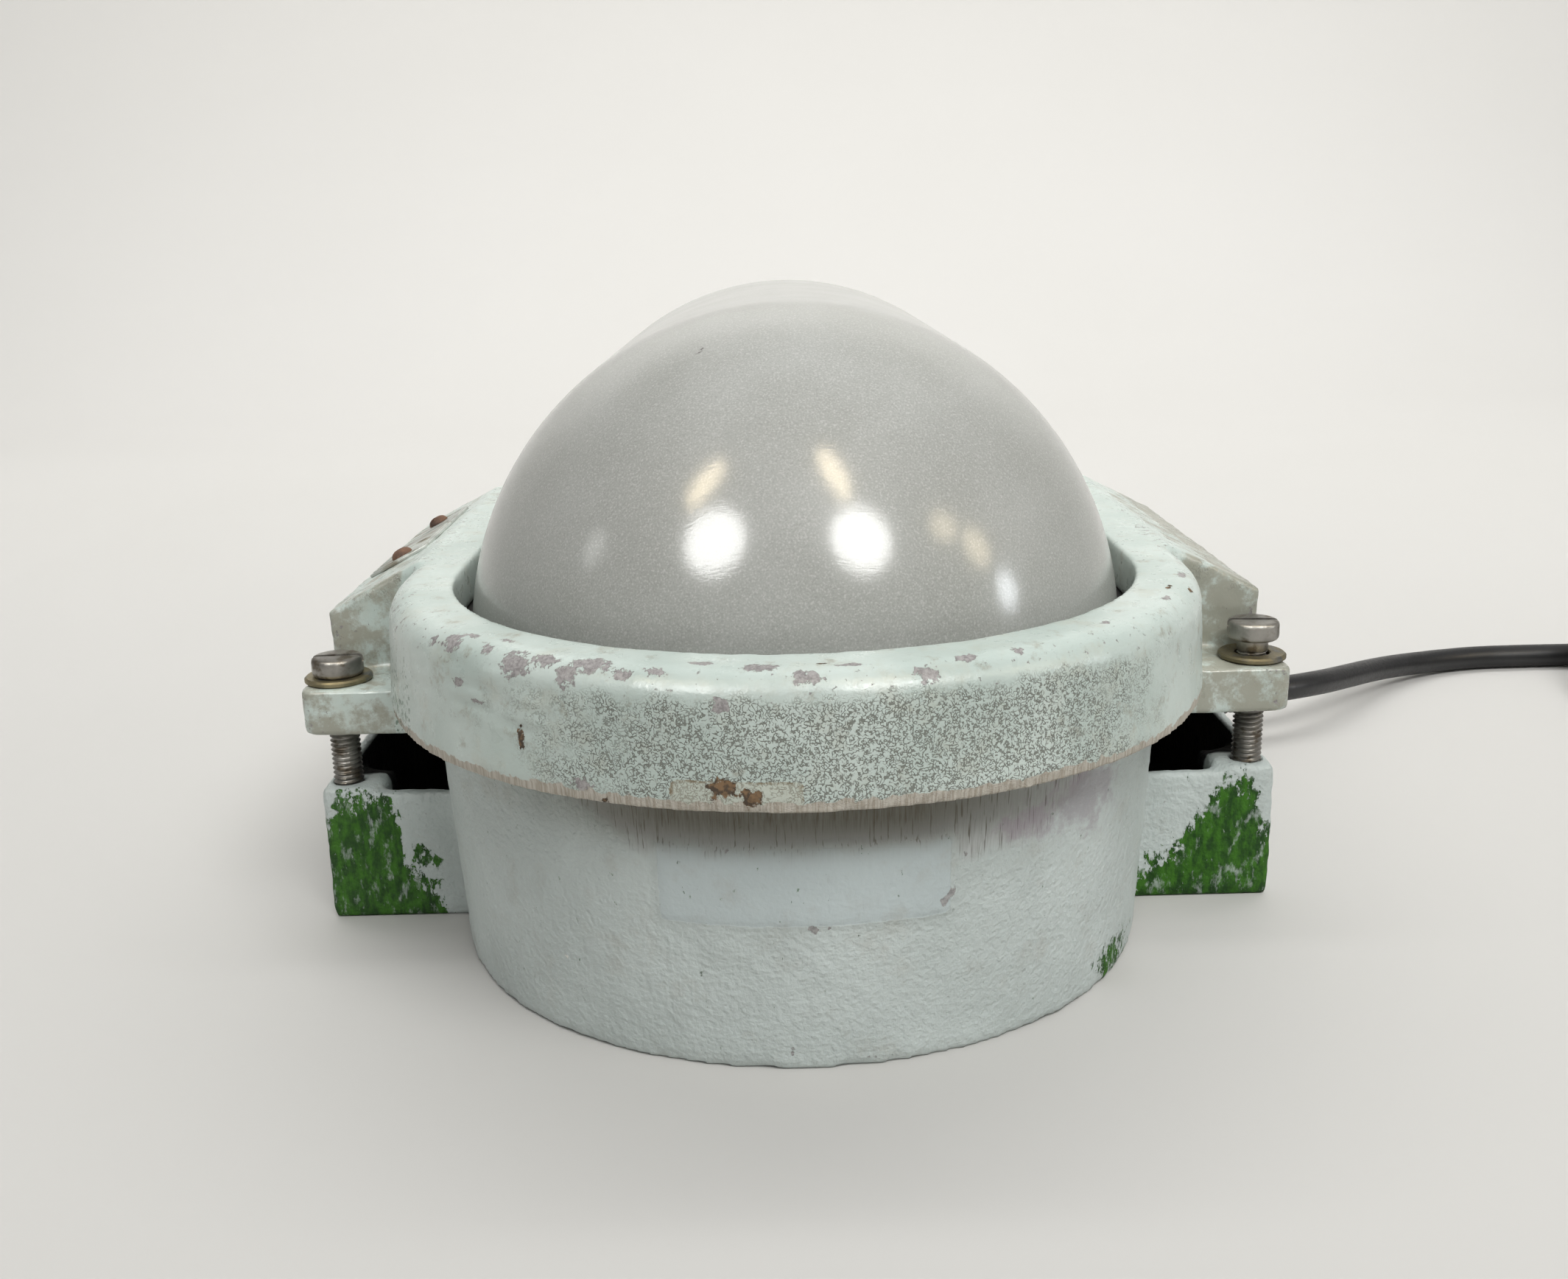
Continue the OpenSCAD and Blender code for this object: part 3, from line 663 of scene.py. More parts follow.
# Chips of paint on the cover's ring: angle, radius, height, half length, half width
RING_CHIPS = [(-53, 97.2, 88.4, 2, 1.4), (-49, 96.2, 89.2, 3.2, 3), (-47, 93, 90.5, 3.4, 1),
              (-42, 95.6, 89.7, 2, 1.4), (-41, 91.3, 90.6, 3, 0.9), (-36, 97.2, 88.3, 4.4, 3),
              (-32, 95.5, 89.7, 3.6, 1.8), (-28, 97.4, 88.1, 3, 2.6), (-25.5, 95, 90, 4.4, 2.6),
              (-21, 96.6, 89, 2.2, 1.5), (-17, 95.6, 89.7, 2.6, 1.4), (-12, 91.3, 90.6, 3, 1.2),
              (-5, 93.1, 90.5, 3.8, 1.6), (0.5, 96.3, 89.2, 3.6, 1.8), (-9, 98.9, 84.5, 2, 1.6),
              (6, 93.2, 90.5, 3.4, 0.8), (14.5, 97, 88.6, 2.6, 2.1), (20, 94.5, 90.2, 2.6, 1.4),
              (27, 94.6, 90.2, 2, 1.2), (44, 92, 90.6, 2, 1), (61, 93.6, 90.5, 2, 1),
              (76, 94, 90.4, 3, 1.2), (-46, 98.8, 82, 2.4, 1), (-42, 99, 79, 2.2, 0.8),
              (-26, 99.6, 66.6, 2.4, 1.4)]
RING_RUST = [(-34.5, 99.3, 74, 1.1, 2.6), (-9, 99.7, 68.2, 3.4, 2.3), (-6, 99.7, 66.4, 2.6, 2.0),
             (-23, 99.8, 63.6, 1.6, 0.8), (67, 92, 90.6, 3, 0.6), (70, 96.5, 89, 1.4, 1),
             (3, 91.8, 90.6, 1.4, 0.5)]


def make_cover():
    piece = even_copy("cover_frame", "cover_casting", 1.05)
    places, normals = places_of(piece)
    x, y, z = places.T
    radius, angle = round_the_oval(places)
    out, turned = np.abs(x), np.abs(angle)
    on_side = band(radius, RING_R - 2.6, RING_R + 1.2, 0.4) * (turned < ROUND_FROM)
    ring = np.where(out < RING_R + 0.5, 1.0, 0.0)
    wings = ring == 0
    put_mark(piece, "chip", spots(places, RING_CHIPS))
    put_mark(piece, "rust", spots(places, RING_RUST))
    rounded = band(z, 84.5, RING_TOP + 2, 1.5) * band(radius, 92.5, RING_R + 1, 1.5)
    put_mark(piece, "worn", 0.5 + 0.36 * np.maximum(rounded, band(out, 117, 126, 1.5))
             + 0.22 * lumps(places, 30, 3) - 0.12 * (turned < ROUND_FROM) * (angle > -60))
    fade = np.exp(-((np.where(ring > 0, angle, 50) - 8) / 42) ** 4)
    worms = band(z, RING_FOOT, 85.5, 2.5) * fade
    put_mark(piece, "worms", worms * on_side * ring + 0.30 * wings * (z > 78))
    machined = on_side * band(z, RING_FOOT, 65.4, 1.1) * ring
    put_mark(piece, "lip", machined)
    put_mark(piece, "coat", band(angle, -15, 0, 0.7) * band(z, RING_FOOT, 69.5, 0.8) * on_side)
    # Green paint and painted shadow in the join of the ring's side and the left wing.
    join = band(radius, RING_R - 1.2, RING_R + 1.6, 0.8) * (turned > 60) * (x < 0)
    put_mark(piece, "green", 0.42 * join * (z < 84) * (y < -50))
    # Painted shade: the wing hollow's inside, under the sloping cover, is marked for near-black.
    hollow = (out > 96) * (out < 117.8) * (np.abs(y) < 57.4)
    put_mark(piece, "painted_shade_hollow", hollow * (z < 82.5 - 0.46 * (out - 100.5)))
    put_mark(piece, "dirty", wings * (0.42 + 0.42 * (x > 0) * (z < 84)))
    shift = 0.13 * lumps(places, 17, 1) + 0.07 * lumps(places, 5, 2) + 0.05 * lumps(places, 2.4, 8)
    ridges = lumps(np.column_stack([angle * 1.7, z, radius]), 2.2, 4, (5.5, 1, 3))
    runs = band(angle, -56, -30, 4) * band(z, 74, 87, 3) * on_side
    shift = shift + 0.8 * ridges * runs - 0.28 * step_up(machined, 0.4, 0.9)
    shift = shift + wings * (z > RING_FOOT) * (0.22 * lumps(places, 7, 6) + 0.12 * lumps(places, 3, 7))
    put_places(piece, places + normals * shift[:, None])
    stands_for(piece, "cover", "cover_paint", cover_paint(), "cover_frame")


# Marks on the drum and lugs, as for the ring
DRUM_DARK = [(1, 88.2, 33, 0.9, 1.4), (3, 88.2, 33.4, 0.7, 0.8), (19, 88, 37, 1.1, 1.7),
             (-10, 90, 50.6, 0.9, 0.9), (-5, 90, 50.6, 1.2, 0.7), (-3.6, 90, 51, 0.8, 0.7),
             (-36, 88.5, 43, 0.7, 0.9), (-44, 88.5, 43, 0.8, 0.6), (8, 88.2, 31, 0.5, 0.8),
             (22, 89.5, 46.5, 0.9, 1.6), (20, 88.4, 38.5, 1.4, 1.3), (0, 87, 25, 0.5, 2.2),
             (-2, 86, 4.5, 0.6, 1.6), (-38, 86.2, 3, 1.6, 0.8), (9, 86, 1.6, 2.6, 0.6),
             (24, 86, 1.4, 2.4, 0.6)]
DRUM_WHITE = [(-36.5, 87, 19.4, 1.2, 1), (25, 86, 2.4, 2, 0.5)]


def green_field(places):
    """Brushed green on the lugs' front faces, with a rubbed patch low on the drum's right.

    It is one half at the patches' outlines, which sag and rise.
    """
    x, y, z = places.T
    out = np.abs(x)
    front = (y < LUG_FRONT + 1.6) * (out > 84)
    left_top = np.interp(x, [-121, -118, -104, -102, -99, -94, -92], [27, 33, 33, 13, 10, 7, -4])
    right_top = np.interp(x, [85, 91.5, 97, 101, 106.6, 109, 117.5, 119.5],
                          [3, 9, 13, 19, 26, 31, 31, 18])
    top = np.where(x < 0, left_top, right_top)
    field = 0.5 + np.minimum((top - z) / 13, (out - 85) / 13)
    for spot_x, spot_z in ((-97.6, 15.5), (-94.2, 14.6), (-98.5, 18)):
        field = np.maximum(field, 1 - 0.5 * np.hypot(x - spot_x, z - spot_z) / 1.6)
    away = places - nose(57, 86, 4)
    low_right = 1 - 0.5 * np.hypot(away[:, 0] / 5, away[:, 2] / 5)
    rubbed = low_right * (y > -HALF - 60) * (x > 60) * (x < 84) * (y < -HALF)
    return np.maximum(np.clip(field, 0, 1.1) * front, rubbed * 0.8)


def make_base():
    piece = even_copy("base_housing", "base_casting", 1.35)
    places, normals = places_of(piece)
    x, y, z = places.T
    radius, angle = round_the_oval(places)
    wall = (radius > 83) * (radius < 93)
    near = (y < -HALF) * wall
    put_mark(piece, "green", green_field(places))
    bare_from = np.interp(angle, [-180, -60, -42, -30, -21, -20, 20, 22, 34, 50, 180],
                          [72, 70, 64, 57, 48, 51, 51, 46, 47, 62, 72])
    bare = np.clip(0.5 + (z - bare_from) / 5, 0, 1) * wall
    put_mark(piece, "bare", bare)
    # Grime and painted shadow under the ring: darker up towards the ring's lower edge, most round the near
    # end.
    put_mark(piece, "grime_and_painted_shadow", step_up(z, 46, 58) * wall * np.clip(1.5 - np.abs(angle + 2) / 34, 0, 1))
    panel = band(np.abs(x), -1, 30, 0.8) * band(z, 34, 51.4, 0.8) * near
    put_mark(piece, "panel", panel)
    put_mark(piece, "stain", spots(places, [(44, 89.5, 53, 12, 9), (33, 89.5, 50, 9, 4)]))
    put_mark(piece, "dark", spots(places, DRUM_DARK))
    put_mark(piece, "white", spots(places, DRUM_WHITE))
    # Painted shade: the inside of each wing hollow is marked for near-black.
    hollow = (np.abs(x) > 84) * (np.abs(x) < 116.2) * (np.abs(y) < 66)
    put_mark(piece, "painted_shade_hollow", hollow * (z > 0.8) * (z < 64) * (radius > 84))
    foot = np.clip(1 - z / 3, 0, 1) * wall
    put_mark(piece, "worn", 0.5 + 0.40 * foot + 0.20 * lumps(places, 26, 3) - 0.36 * wall)
    rough = 1 - 0.85 * np.maximum(bare, 0.8 * panel) * wall
    cast = 0.16 * lumps(places, 4.2, 2) + 0.18 * lumps(places, 2.6, 5)
    small = band(x, -22, -12, 0.5) * band(z, 26, 33.5, 0.5) * near
    seam = np.exp(-((x - 2) / 0.8) ** 2) * (z < 33) * near
    shift = 0.16 * lumps(places, 22, 1) + rough * cast + 0.25 * small + 0.12 * seam + 0.3 * panel * wall
    shift = np.where(z < 0.4, 0, shift)  # the face that it rests on stays flat
    put_places(piece, places + normals * shift[:, None])
    stands_for(piece, "base", "base_paint", base_paint(), "base_housing")


# ---------- glass ----------

def frosted_glass():
    """Grey frosted glass: a gloss skin over a milky body, with a fine sparkle and light scratches. The
    body's grey is partly painted shade, for the dark inside seen through the frosting.
    """
    material, t = new_material("frosted_glass", IOR=1.5, Transmission_Weight=0.05,
                               Specular_IOR_Level=0.20, Coat_Weight=0.8, Coat_Roughness=0.13,
                               Coat_IOR=1.5)
    cloud = t.grain(26, 4)
    sparkle = t.grain(0.42, 2, rough=0.6)
    # Painted shade in part: the grey stands for the dark inside of the fitting seen through the frosting.
    body = t.over(t.rise(cloud, 0.3, 0.7), (0.385, 0.39, 0.365), (0.435, 0.44, 0.418))
    body = t.tint(body, t.rise(sparkle, 0.50, 0.70), 0.50, (0.66, 0.66, 0.64))
    body = t.tint(body, t.rise(sparkle, 0.44, 0.32), 0.34, (0.25, 0.245, 0.23))
    speck = t.ragged(t.mark("speck"), t.grain(0.6, 3), 0.25)
    body = t.tint(body, speck, 0.8, (0.10, 0.085, 0.08))
    t.feed("Base Color", body)
    t.feed("Roughness", t.spread(sparkle, 0.42, 0.58))
    scratch = t.rise(t.grain(0.5, 2, (24, 1, 2), shift=3), 0.68, 0.72)
    height = t.calc("SUBTRACT", t.times(sparkle, 0.5), t.times(scratch, 0.6))
    t.relief(height, 0.012)
    t.relief(t.grain(0.5, 3, (7, 1, 1.2), 0.6), 0.022, socket="Coat Normal")
    return material


def capsule_rows(radius, above, centre_z, steps, around):
    """Rows of a long dome's points from the near tip to the far tip, cut level at a height."""
    rows = []
    first = np.arcsin(above / radius)
    turns = np.linspace(first, pi / 2, steps)
    stations = [(-HALF - radius * cos(t), radius * sin(t)) for t in turns]
    straight = [(y, radius) for y in np.linspace(-HALF, HALF, 15)[1:-1]]
    stations += straight + [(-y, r) for y, r in reversed(stations)]
    for y, r in stations:
        low = np.arcsin(min(1, above / max(r, 1e-6))) if above else 0.0
        turns = np.linspace(low, pi - low, around)
        rows.append([Vector((r * cos(t), y, centre_z + r * sin(t))) for t in turns])
    return rows


def make_dome():
    thickness = 3.8
    centre_z = FLANGE_Z + 3
    radius = DOME_TOP - centre_z
    flange_top = FLANGE_Z + 5
    outside = capsule_rows(radius, flange_top - centre_z, centre_z, 40, 81)
    inside = capsule_rows(radius - thickness, 0.0, centre_z, 40, 81)
    points, faces = [], []

    def keep(rows):
        numbers = []
        for i, row in enumerate(rows):
            if i in (0, len(rows) - 1):
                numbers.append(numbered(points, [row[len(row) // 2]]) * len(row))
            else:
                numbers.append(numbered(points, row))
        return numbers

    def skin(numbers, flip):
        for a, b in zip(numbers, numbers[1:]):
            for k in range(len(a) - 1):
                corners = list(dict.fromkeys((a[k], b[k], b[k + 1], a[k + 1])))
                faces.append(corners[::-1] if flip else corners)

    def outline(numbers):
        right = [row[0] for row in numbers]
        left = [row[-1] for row in numbers[1:-1]]
        return right + left[::-1]

    outer, inner = keep(outside), keep(inside)
    skin(outer, True)
    skin(inner, False)
    guide = [points[k] for k in outline(outer)]
    rings = [outline(outer)]
    edge = 0.6
    for distance, height in ((FLANGE_R - edge, flange_top), (FLANGE_R, flange_top - edge),
                             (FLANGE_R, FLANGE_Z + edge), (FLANGE_R - edge, FLANGE_Z),
                             (radius - thickness, FLANGE_Z)):
        ring = []
        for place in guide:
            centre = Vector((0, max(-HALF, min(HALF, place.y)), 0))
            away = Vector((place.x, place.y - centre.y, 0)).normalized()
            ring.append(centre + away * distance + Vector((0, 0, height)))
        rings.append(numbered(points, ring))
    rings.append(outline(inner))
    for a, b in zip(rings, rings[1:]):
        for k in range(len(a)):
            j = (k + 1) % len(a)
            faces.append([a[k], b[k], b[j], a[j]])
    piece = mesh_object("frosted_dome", (points, faces))
    tidy = bmesh.new()
    tidy.from_mesh(piece.data)
    bmesh.ops.recalc_face_normals(tidy, faces=tidy.faces)
    tidy.to_mesh(piece.data)
    tidy.free()
    piece.data.set_sharp_from_angle(angle=radians(40))
    places, _ = places_of(piece)
    specks = np.maximum(1 - np.linalg.norm(places - (-19.2, -102.4, 146.4), axis=1) / 2.4,
                        1 - np.linalg.norm(places - (-20, -109.6, 142.7), axis=1) / 1.8)
    put_mark(piece, "speck", specks)
    return stands_for(piece, "cover", "frosted_glass", frosted_glass(), "glass_dome")


# ---------- screws, washers and plate ----------

HEAD_HEIGHT = 5  # of a cover screw


def slotted_head(radius, height, slot, deep, rounding):
    """A turned head on Z = 0 with a slot across its top."""
    profile = [(0, 0)] + round_edges([(0, 0), (radius, 0), (radius * 0.985, height), (0, height)],
                                     rounding, 4)[1:]
    return carved(lathe(profile, 56), block((3 * radius, slot, 2 * deep), (0, 0, height), 0.05, 1))


def make_cover_screw(name, turn, material):
    """An M8 cheese-head screw: head, neck and threaded shank."""
    low, high = box_mm("cover_" + name)
    centre = (low + high) / 2
    seat = high.z - HEAD_HEIGHT
    head = slotted_head(6.5, HEAD_HEIGHT, 1.7, 2.0, 1.3)
    shank = threaded_rod(3.9, 1.25, 0.62, low.z - seat, -0.2)
    neck = lathe([(0, -3.2), (3.6, -3.2), (3.9, -2.8), (3.9, 0.3), (0, 0.3)], 32)
    shape = placed(joined(head, shank, neck), at(centre.x, centre.y, seat) @ spun(turn))
    return finished(name, shape, 38, name, "screw_steel", material, "cover_" + name)


def make_screws():
    steel = simple("screw_steel", (0.26, 0.25, 0.23), 0.42, 2.0, 0.30, 0.05, (0.13, 0.11, 0.085),
                   Metallic=0.85)
    for name, turn in (("screw_near_left", 4), ("screw_near_right", -6), ("screw_far_left", 140),
                       ("screw_far_right", 35)):
        make_cover_screw(name, turn, steel)


def make_washers():
    brassy = simple("washer_metal", (0.22, 0.19, 0.115), 0.45, 2.0, 0.25, 0.05, (0.15, 0.15, 0.14),
                    Metallic=0.8)
    low, high = box_mm("cover_washers")
    screw_low, screw_high = box_mm("cover_screw_near_left")
    x, y = abs(screw_low.x + screw_high.x) / 2, abs(screw_low.y + screw_high.y) / 2
    outer = high.x - x
    thick = high.z - low.z
    loop = [(4.4, 0.2), (4.6, 0), (outer - 0.5, 0), (outer, 0.45), (outer, thick - 0.45),
            (outer - 0.5, thick), (4.7, thick), (4.4, thick - 0.25)]
    shapes = [placed(lathe(loop, 48, loop=True), at(sx * x, sy * y, low.z))
              for sx in (-1, 1) for sy in (-1, 1)]
    return finished("washers", joined(*shapes), 30, "cover", "washer_metal", brassy, "cover_washers")


SLOPE = 27.2  # degrees that the plate's face falls outwards


def slope_frame():
    """The sloping face under the rating plate: its middle, and Z standing out of it."""
    low, high = box_mm("rating_plate")
    centre = (low + high) / 2
    return at(*centre) @ Matrix.Rotation(-radians(SLOPE), 4, "Y"), high.y - low.y


def make_plate():
    """A blank stamped plate with a raised border and two raised dividing lines."""
    place, length = slope_frame()
    metal = simple("plate_metal", (0.47, 0.49, 0.46), 0.40, 4.0, 0.22, 0.05, (0.25, 0.23, 0.18),
                   Metallic=0.35)
    shapes = [block((18, length, 0.9), (0, 0, 0), 0.25)]
    for x in (-7.8, 7.8):
        shapes.append(block((0.6, length - 2.4, 0.4), (x, 0, 0.5), 0.12, 1))
    for y in (-length / 2 + 1.2, -length / 6, length / 6, length / 2 - 1.2):
        shapes.append(block((15.6, 0.6, 0.4), (0, y, 0.5), 0.12, 1))
    finished("rating_plate_blank", placed(joined(*shapes), place), 35, "cover", "plate_metal", metal,
             "rating_plate")
    rust = simple("rusty_steel", (0.12, 0.065, 0.042), 0.75, 1.2, 0.45, 0.12, (0.21, 0.115, 0.065),
                  Metallic=0.2)
    dome = [(0, 0), (3.1, 0), (3.05, 0.5), (2.5, 1.4), (1.5, 1.95), (0, 2.1)]
    low, high = box_mm("plate_screws")
    hole = (high.y - low.y) / 2 - 3.1
    heads = []
    for side, turn in ((-1, 20), (1, 65)):
        head = carved(lathe(round_edges(dome, 0.4, 2), 32), block((8, 0.9, 1.8), (0, 0, 2.1), 0.05, 1))
        heads.append(placed(head, place @ at(0, side * hole, 0.45) @ spun(turn)))
    finished("plate_screw_heads", joined(*heads), 40, "cover", "rusty_steel", rust, "plate_screws")


# ---------- cord, gland and plug ----------

GLAND_Y, GLAND_Z = 45, 16  # its axis, which runs along X


def make_gland():
    black = simple("gland_black", (0.018, 0.018, 0.019), 0.42, 2.0, 0.2, 0.02)
    boot_low, boot_high = box_mm("gland_boot")
    knots = [(boot_low.x, GLAND_Y, GLAND_Z), (143, 45.2, GLAND_Z), (150, 46, GLAND_Z),
             (boot_high.x, 47.5, GLAND_Z)]
    route = smooth_route(knots, 12)
    radii = []
    for i in range(len(route)):
        share = i / (len(route) - 1)
        rib = 0.55 if (i % 5) in (2, 3) and 0.12 < share < 0.9 else 0.0
        radii.append(7.4 - 2.3 * share - rib)
    boot = finished("strain_relief", sweep(route, radii, 32), 60, "base", "gland_black", black,
                    "gland_boot")
    start = box_mm("gland_nut")[0].x
    cap = lathe([(0, 6), (9.6, 6.8), (9.4, 8), (8, 10.9), (4.6, 11), (0, 11)], 40)
    nut = joined(hex_nut(20 / sqrt(3), 7), cap)
    nut = placed(nut, along_x(start, GLAND_Y, GLAND_Z))
    finished("gland_cap", nut, 32, "base", "gland_black", black, "gland_nut")
    return boot


def hex_nut(reach, length):
    """A hexagon about Z with its corners turned off."""
    chamfer = 0.12 * reach
    rows = [(0, 0), (reach * 0.93, 0), (reach, chamfer), (reach, length - chamfer),
            (reach * 0.93, length), (0, length)]
    sides = 48
    points, rings = [], []
    flat = reach * sqrt(3) / 2
    for radius, height in rows:
        ring = []
        for turn in turns(sides):
            out = min(radius, flat / cos(turn % (pi / 3) - pi / 6)) if radius else 0.001
            ring.append(Vector((out * cos(turn), out * sin(turn), height)))
        rings.append(numbered(points, ring))
    return points, bands(rings)


def make_plug():
    """A round moulded plug with grip ridges, and two round pins."""
    black = simple("plug_black", (0.016, 0.016, 0.017), 0.38, 3.0, 0.2, 0.02)
    low, high = box_mm("plug_body")
    x, z = (low.x + high.x) / 2, (low.z + high.z) / 2
    length = high.y - low.y
    radius = (high.x - low.x) / 2
    profile = [(0, 0), (5.6, 0)]
    for i in range(7):
        start = 3 + 2.9 * i
        wide = 5.8 + 0.45 * i
        profile += [(wide, start), (wide + 0.7, start + 0.6), (wide + 0.7, start + 1.9),
                    (wide, start + 2.4)]
    profile += [(9, 24.5), (11.5, 27), (16.5, 33), (radius - 0.4, 35.5), (radius, 37)]
    for start in (40, 44, 48):
        profile += [(radius, start), (radius - 0.8, start + 0.7), (radius - 0.8, start + 1.6),
                    (radius, start + 2.3)]
    profile += [(radius, length - 1.6), (radius - 1.6, length), (0, length)]
    plug = finished("moulded_plug", placed(lathe(profile, 72), along_y(x, high.y, z, -1)), 50,
                    "base", "plug_black", black, "plug_body")
    nickel = simple("pin_nickel", (0.62, 0.60, 0.55), 0.22, 2.0, 0.1, 0.01, Metallic=1.0)
    pin_low, pin_high = box_mm("plug_pins")
    pin_length = pin_high.y - pin_low.y
    pin = round_edges([(0, 0), (2.4, 0), (2.4, pin_length - 1.4), (1.0, pin_length), (0, pin_length)],
                      1.0, 4)
    shapes = [placed(lathe(pin, 28), along_y(x + side * 9.5, pin_high.y, z, -1)) for side in (-1, 1)]
    pins = finished("plug_pins_turned", joined(*shapes), 45, "base", "pin_nickel", nickel, "plug_pins")
    return plug, pins


def tie_shape():
    """A band bent round the coil's cords, with its lock on the outside."""
    low, high = INNER - CORD_D / 2 - 0.4, OUTER + CORD_D / 2 + 0.4
    top = LAYERS[2] + CORD_D / 2 + 0.4
    centre_line = round_edges([(low, 0.5), (low, top), (high, top), (high, 0.5)], 3.5, 6)
    points, rings = [], []
    thick, wide = 0.45, 2.0
    for i, (r, z) in enumerate(centre_line):
        ahead = Vector(centre_line[min(i + 1, len(centre_line) - 1)]) - Vector(centre_line[max(i - 1, 0)])
        out = Vector((-ahead.y, ahead.x)).normalized()
        corners = ((-wide, -thick), (wide, -thick), (wide, thick), (-wide, thick))
        rings.append(numbered(points, [Vector((r + proud * out.x, side, z + proud * out.y))
                                       for side, proud in corners]))
    faces = bands(rings) + [rings[0][::-1], rings[-1]]
    lock = block((2.2, 6, 5), (high + 1.2, 0, 13), 0.5)
    return joined((points, faces), lock)


def make_ties():
    dark = simple("tie_black", (0.03, 0.03, 0.032), 0.35, 2.0, 0.2, 0.02)
    shapes = [placed(tie_shape(), at(COIL_X, COIL_Y, 0) @ spun(turn)) for turn in (60, 200)]
    return finished("cable_ties", joined(*shapes), 40, "base", "cord_black", dark, "coil_ties")


# ---------- gear inside ----------

def wavy(radius, depth, pitch, low, high, steps=6):
    """A rolled thread's profile: (radius, height) pairs."""
    count = int((high - low) / pitch * steps)
    rows = []
    for i in range(count + 1):
        height = low + (high - low) * i / count
        rows.append((radius - depth * 0.5 * (1 + cos(2 * pi * height / pitch)), height))
    return rows


def make_lampholder(name, sign):
    """A porcelain holder: stepped base, ribbed waist and rolled rim."""
    z = middle_mm(name).z
    outside = round_edges([(0, 0), (21.6, 0), (22, 1.5), (22, 11), (20.5, 13.5), (18.6, 15), (18.6, 18),
                           (20, 20), (20, 38), (20, 41.5), (18.5, 44)], 1.0, 3)
    inside = round_edges([(18.5, 44), (15.6, 44), (14.9, 42.5), (14.9, 7), (0, 7)], 0.6, 2)
    shape = placed(lathe(outside + inside[1:], 56), along_y(0, sign, z, sign))
    finished(name + "_body", shape, 45, "base", "porcelain", plain("porcelain"), name)


def make_lamp(end, sign):
    """A lamp with a rolled E27 cap, a contact and a frosted pear envelope."""
    body = "lamp_" + end
    z = middle_mm("lamp_cap_" + end).z
    cap = [(0, 22), (4.6, 22), (5, 22.6), (5, 24.6), (9, 26.2), (11.8, 27)]
    cap += wavy(13, 0.9, 3.6, 28, 43) + [(12.9, 44.5), (12.9, 47), (0, 47)]
    axis = along_y(0, 0, z, sign)
    finished(body + "_cap", placed(lathe(cap, 44), axis), 60, body, "lamp_cap", plain("lamp_cap"),
             "lamp_cap_" + end)
    low, high = box_mm("lamp_glass_" + end)
    far = max(abs(low.y), abs(high.y))
    widest = (high.x - low.x) / 2
    ball = far - widest
    outline = [(0, far)]
    for i in range(1, 15):
        turn = pi / 2 - i * radians(120) / 14
        outline.append((widest * cos(turn), ball + widest * sin(turn)))
    last = outline[-1]
    for i in range(1, 9):
        share = i / 8
        outline.append((last[0] + (13.6 - last[0]) * ease(share) ** 0.8,
                        last[1] + (47.2 - last[1]) * share))
    wall = 1.1
    inner = [(max(0, r - wall), h - wall * (1 if i == 0 else 0)) for i, (r, h) in enumerate(outline)]
    profile = outline[::-1] + inner
    envelope = placed(lathe(profile, 48, loop=True), axis)
    finished(body + "_glass", envelope, 80, body, "lamp_glass", plain("lamp_glass"),
             "lamp_glass_" + end)


def dress_cad():
    """Materials, and bevels on some, for the CAD nodes that show as they are."""
    rubber = simple("rubber_seal", (0.025, 0.024, 0.023), 0.7, 2.0, 0.3, 0.05)
    enamel = simple("enamel_white", (0.74, 0.74, 0.70), 0.25, 8.0, 0.05, 0.02, (0.62, 0.60, 0.52))
    zinc = simple("zinc_steel", (0.55, 0.55, 0.53), 0.35, 2.5, 0.2, 0.03, (0.40, 0.38, 0.33), Metallic=0.9)
    brass = simple("brass", (0.58, 0.42, 0.16), 0.32, 2.0, 0.2, 0.02, (0.30, 0.21, 0.09), Metallic=0.95)
    plastic = simple("terminal_plastic", (0.66, 0.62, 0.52), 0.45, 3.0, 0.08, 0.03)
    brown = simple("wire_brown", (0.14, 0.055, 0.025), 0.45, 2.0, 0.2, 0.02)
    blue = simple("wire_blue", (0.03, 0.075, 0.30), 0.45, 2.0, 0.2, 0.02)
    green = simple("wire_green", (0.10, 0.30, 0.04), 0.45, 2.0, 0.2, 0.02)
    painted = simple("plug_paint", (0.45, 0.48, 0.48), 0.5, 3.0, 0.12, 0.06, (0.25, 0.23, 0.19))
    black = simple("tail_black", (0.015, 0.015, 0.016), 0.5, 2.0, 0.2, 0.02)
    looks = {"base_gasket": rubber, "glass_gasket": rubber, "gear_tray": enamel, "tray_spacers": zinc,
             "tray_screws": zinc, "holder_bracket": zinc, "bracket_screws": zinc, "holder_shells": brass,
             "holder_contacts": brass, "terminal_block": plastic, "terminal_screws": brass,
             "earth_screw": brass, "wires_live": brown, "wires_neutral": blue, "wire_earth": green,
             "cord_tail": black, "cable_gland_body": plain("gland_black"), "gland_washer": rubber,
             "blanking_plug": painted, "blanking_washer": rubber, "glass_clips": zinc,
             "clip_screws": zinc}
    widths = {"gear_tray": 0.4, "holder_bracket": 0.4, "cable_gland_body": 0.5, "blanking_plug": 0.6,
              "terminal_block": 0.6, "glass_clips": 0.3, "tray_spacers": 0.4}
    for node, material in looks.items():
        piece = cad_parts[node]
        piece.data.materials.clear()
        piece.data.materials.append(material)
        weld = piece.modifiers.new("weld", "WELD")
        weld.merge_threshold = 1e-6
        if node in widths:
            bevel = piece.modifiers.new("bevel", "BEVEL")
            bevel.width = widths[node] * MM
            bevel.segments = 2
            bevel.limit_method = "ANGLE"
            bevel.angle_limit = radians(35)
        piece.modifiers.new("normals", "WEIGHTED_NORMAL")


# ---------- stage ----------

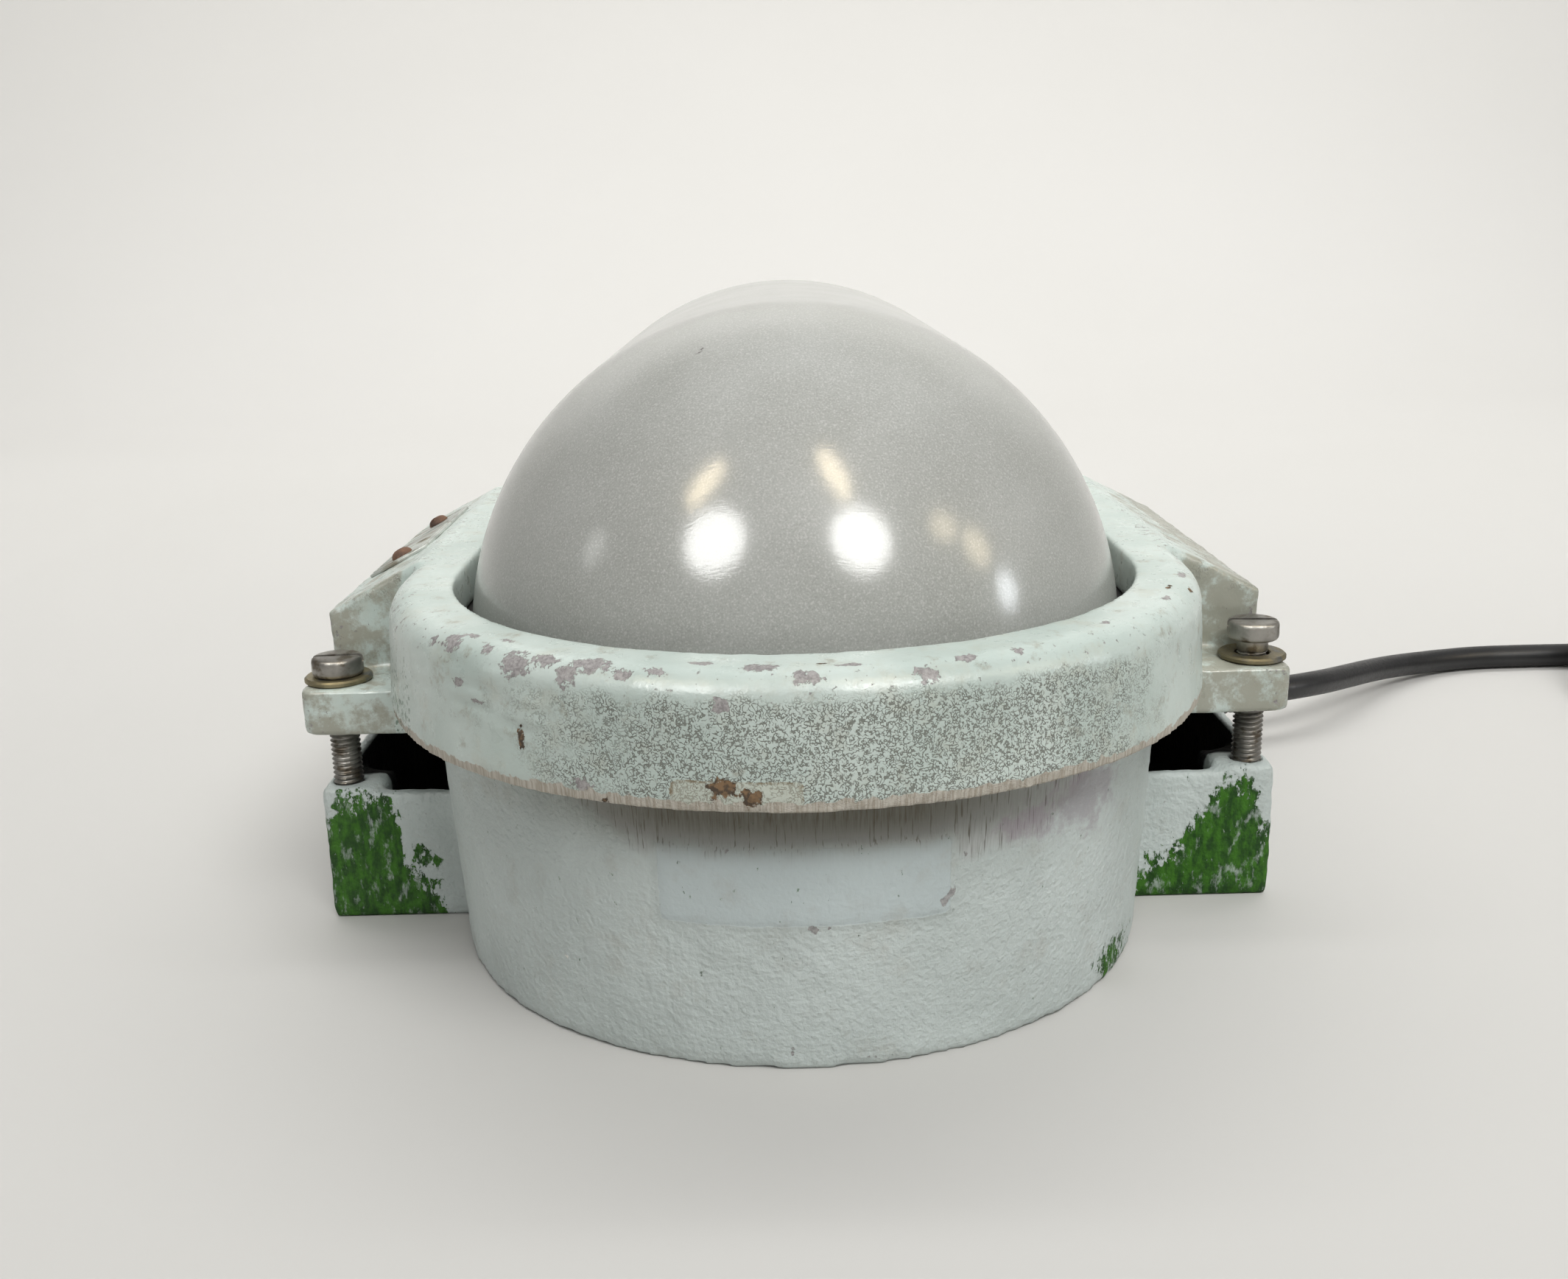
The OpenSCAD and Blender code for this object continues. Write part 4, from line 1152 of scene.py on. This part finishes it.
def make_stage():
    """A plain pale floor that curves up into a pale backdrop."""
    bend, radius = 0.9, 0.5
    profile = [(-2.2, 0), (bend, 0)]
    profile += [(bend + radius * sin(radians(a)), radius - radius * cos(radians(a)))
                for a in range(10, 91, 10)]
    profile += [(1.4, 3.0)]
    points = [Vector((x, y, z)) / MM for y, z in profile for x in (-4, 4)]
    faces = [[2 * i, 2 * i + 1, 2 * i + 3, 2 * i + 2] for i in range(len(profile) - 1)]
    floor = mesh_object("studio_floor", (points, faces))
    floor.location.z = -0.0002  # just clear of the faces that rest on it
    material, t = new_material("studio_floor", Roughness=0.75)
    shade = t.over(t.grain(400, 2), (0.56, 0.55, 0.53), (0.59, 0.58, 0.565))
    t.feed("Base Color", shade)
    floor.data.materials.append(material)


def area_light(name, direction, distance, size, power, colour=(1, 1, 1), target=(0, -0.142, 0.11),
               diffuse=True, glossy=True, shape="RECTANGLE"):
    """A soft light standing off a target along a direction. Highlights light no diffuse surface."""
    data = bpy.data.lights.new(name, "AREA")
    data.shape = shape
    data.size, data.size_y = size
    data.energy = power
    data.color = colour
    light = bpy.data.objects.new(name, data)
    away = Vector(direction).normalized()
    light.location = Vector(target) + away * distance
    light.rotation_mode = "QUATERNION"
    light.rotation_quaternion = away.to_track_quat("Z", "Y")
    light.visible_diffuse = diffuse
    light.visible_glossy = glossy
    scene.collection.objects.link(light)


def make_lights():
    world = bpy.data.worlds.new("studio")
    scene.world = world
    t = Tree(world, "Background", Strength=0.30)
    place = t.add("TexCoord").outputs["Generated"]
    height = t.add("SeparateXYZ", {0: place}).outputs["Z"]
    sky = t.over(t.rise(height, -0.1, 0.75), (0.42, 0.40, 0.37), (0.98, 0.99, 1.0))
    t.feed("Color", sky)
    cool, warm = (1.0, 1.0, 0.98), (1.0, 0.84, 0.58)
    highlights = [("window_left", (-0.44, -0.64, 0.63), (0.50, 0.55), 14, cool),
                  ("window_right", (0.37, -0.68, 0.63), (0.49, 0.55), 14, cool),
                  ("warm_left", (-0.45, -0.34, 0.83), (0.16, 0.44), 3.4, warm),
                  ("warm_right", (0.22, -0.39, 0.89), (0.16, 0.50), 3.8, warm),
                  ("pale_right", (0.75, -0.35, 0.56), (0.24, 0.22), 1.1, warm),
                  ("far_right", (0.88, -0.26, 0.41), (0.22, 0.28), 1.4, warm),
                  ("side_right", (0.97, -0.19, 0.17), (0.18, 0.26), 1.9, (0.92, 0.96, 1.0)),
                  ("side_left", (-0.91, -0.12, 0.40), (0.18, 0.26), 0.5, cool)]
    for name, direction, size, power, colour in highlights:
        area_light(name, direction, 1.4, size, power, colour, diffuse=False, shape="ELLIPSE")
    area_light("front_above", (0.30, -0.62, 0.95), 2.0, (1.3, 0.8), 27.5, cool, (0, -0.1, 0.05),
               glossy=False)
    area_light("ceiling", (0.1, 0.30, 1.0), 2.2, (2.4, 2.0), 7, cool, (0, 0, 0))
    area_light("backdrop_wash", (0, -0.7, 0.75), 1.3, (2.6, 0.5), 26, cool, (0, 1.4, 0.5), glossy=False)
    scene.view_settings.view_transform = "Standard"


def main():
    cord.data.materials.append(simple("cord_black", (0.014, 0.014, 0.015), 0.42, 3.0, 0.2, 0.02))
    make_cover()
    make_base()
    make_dome()
    make_screws()
    make_washers()
    make_plate()
    boot = make_gland()
    plug, pins = make_plug()
    ties = make_ties()
    for end, sign in (("near", -1), ("far", 1)):
        make_lampholder("lampholder_" + end, sign)
        make_lamp(end, sign)
    dress_cad()
    make_stage()
    make_lights()


main()
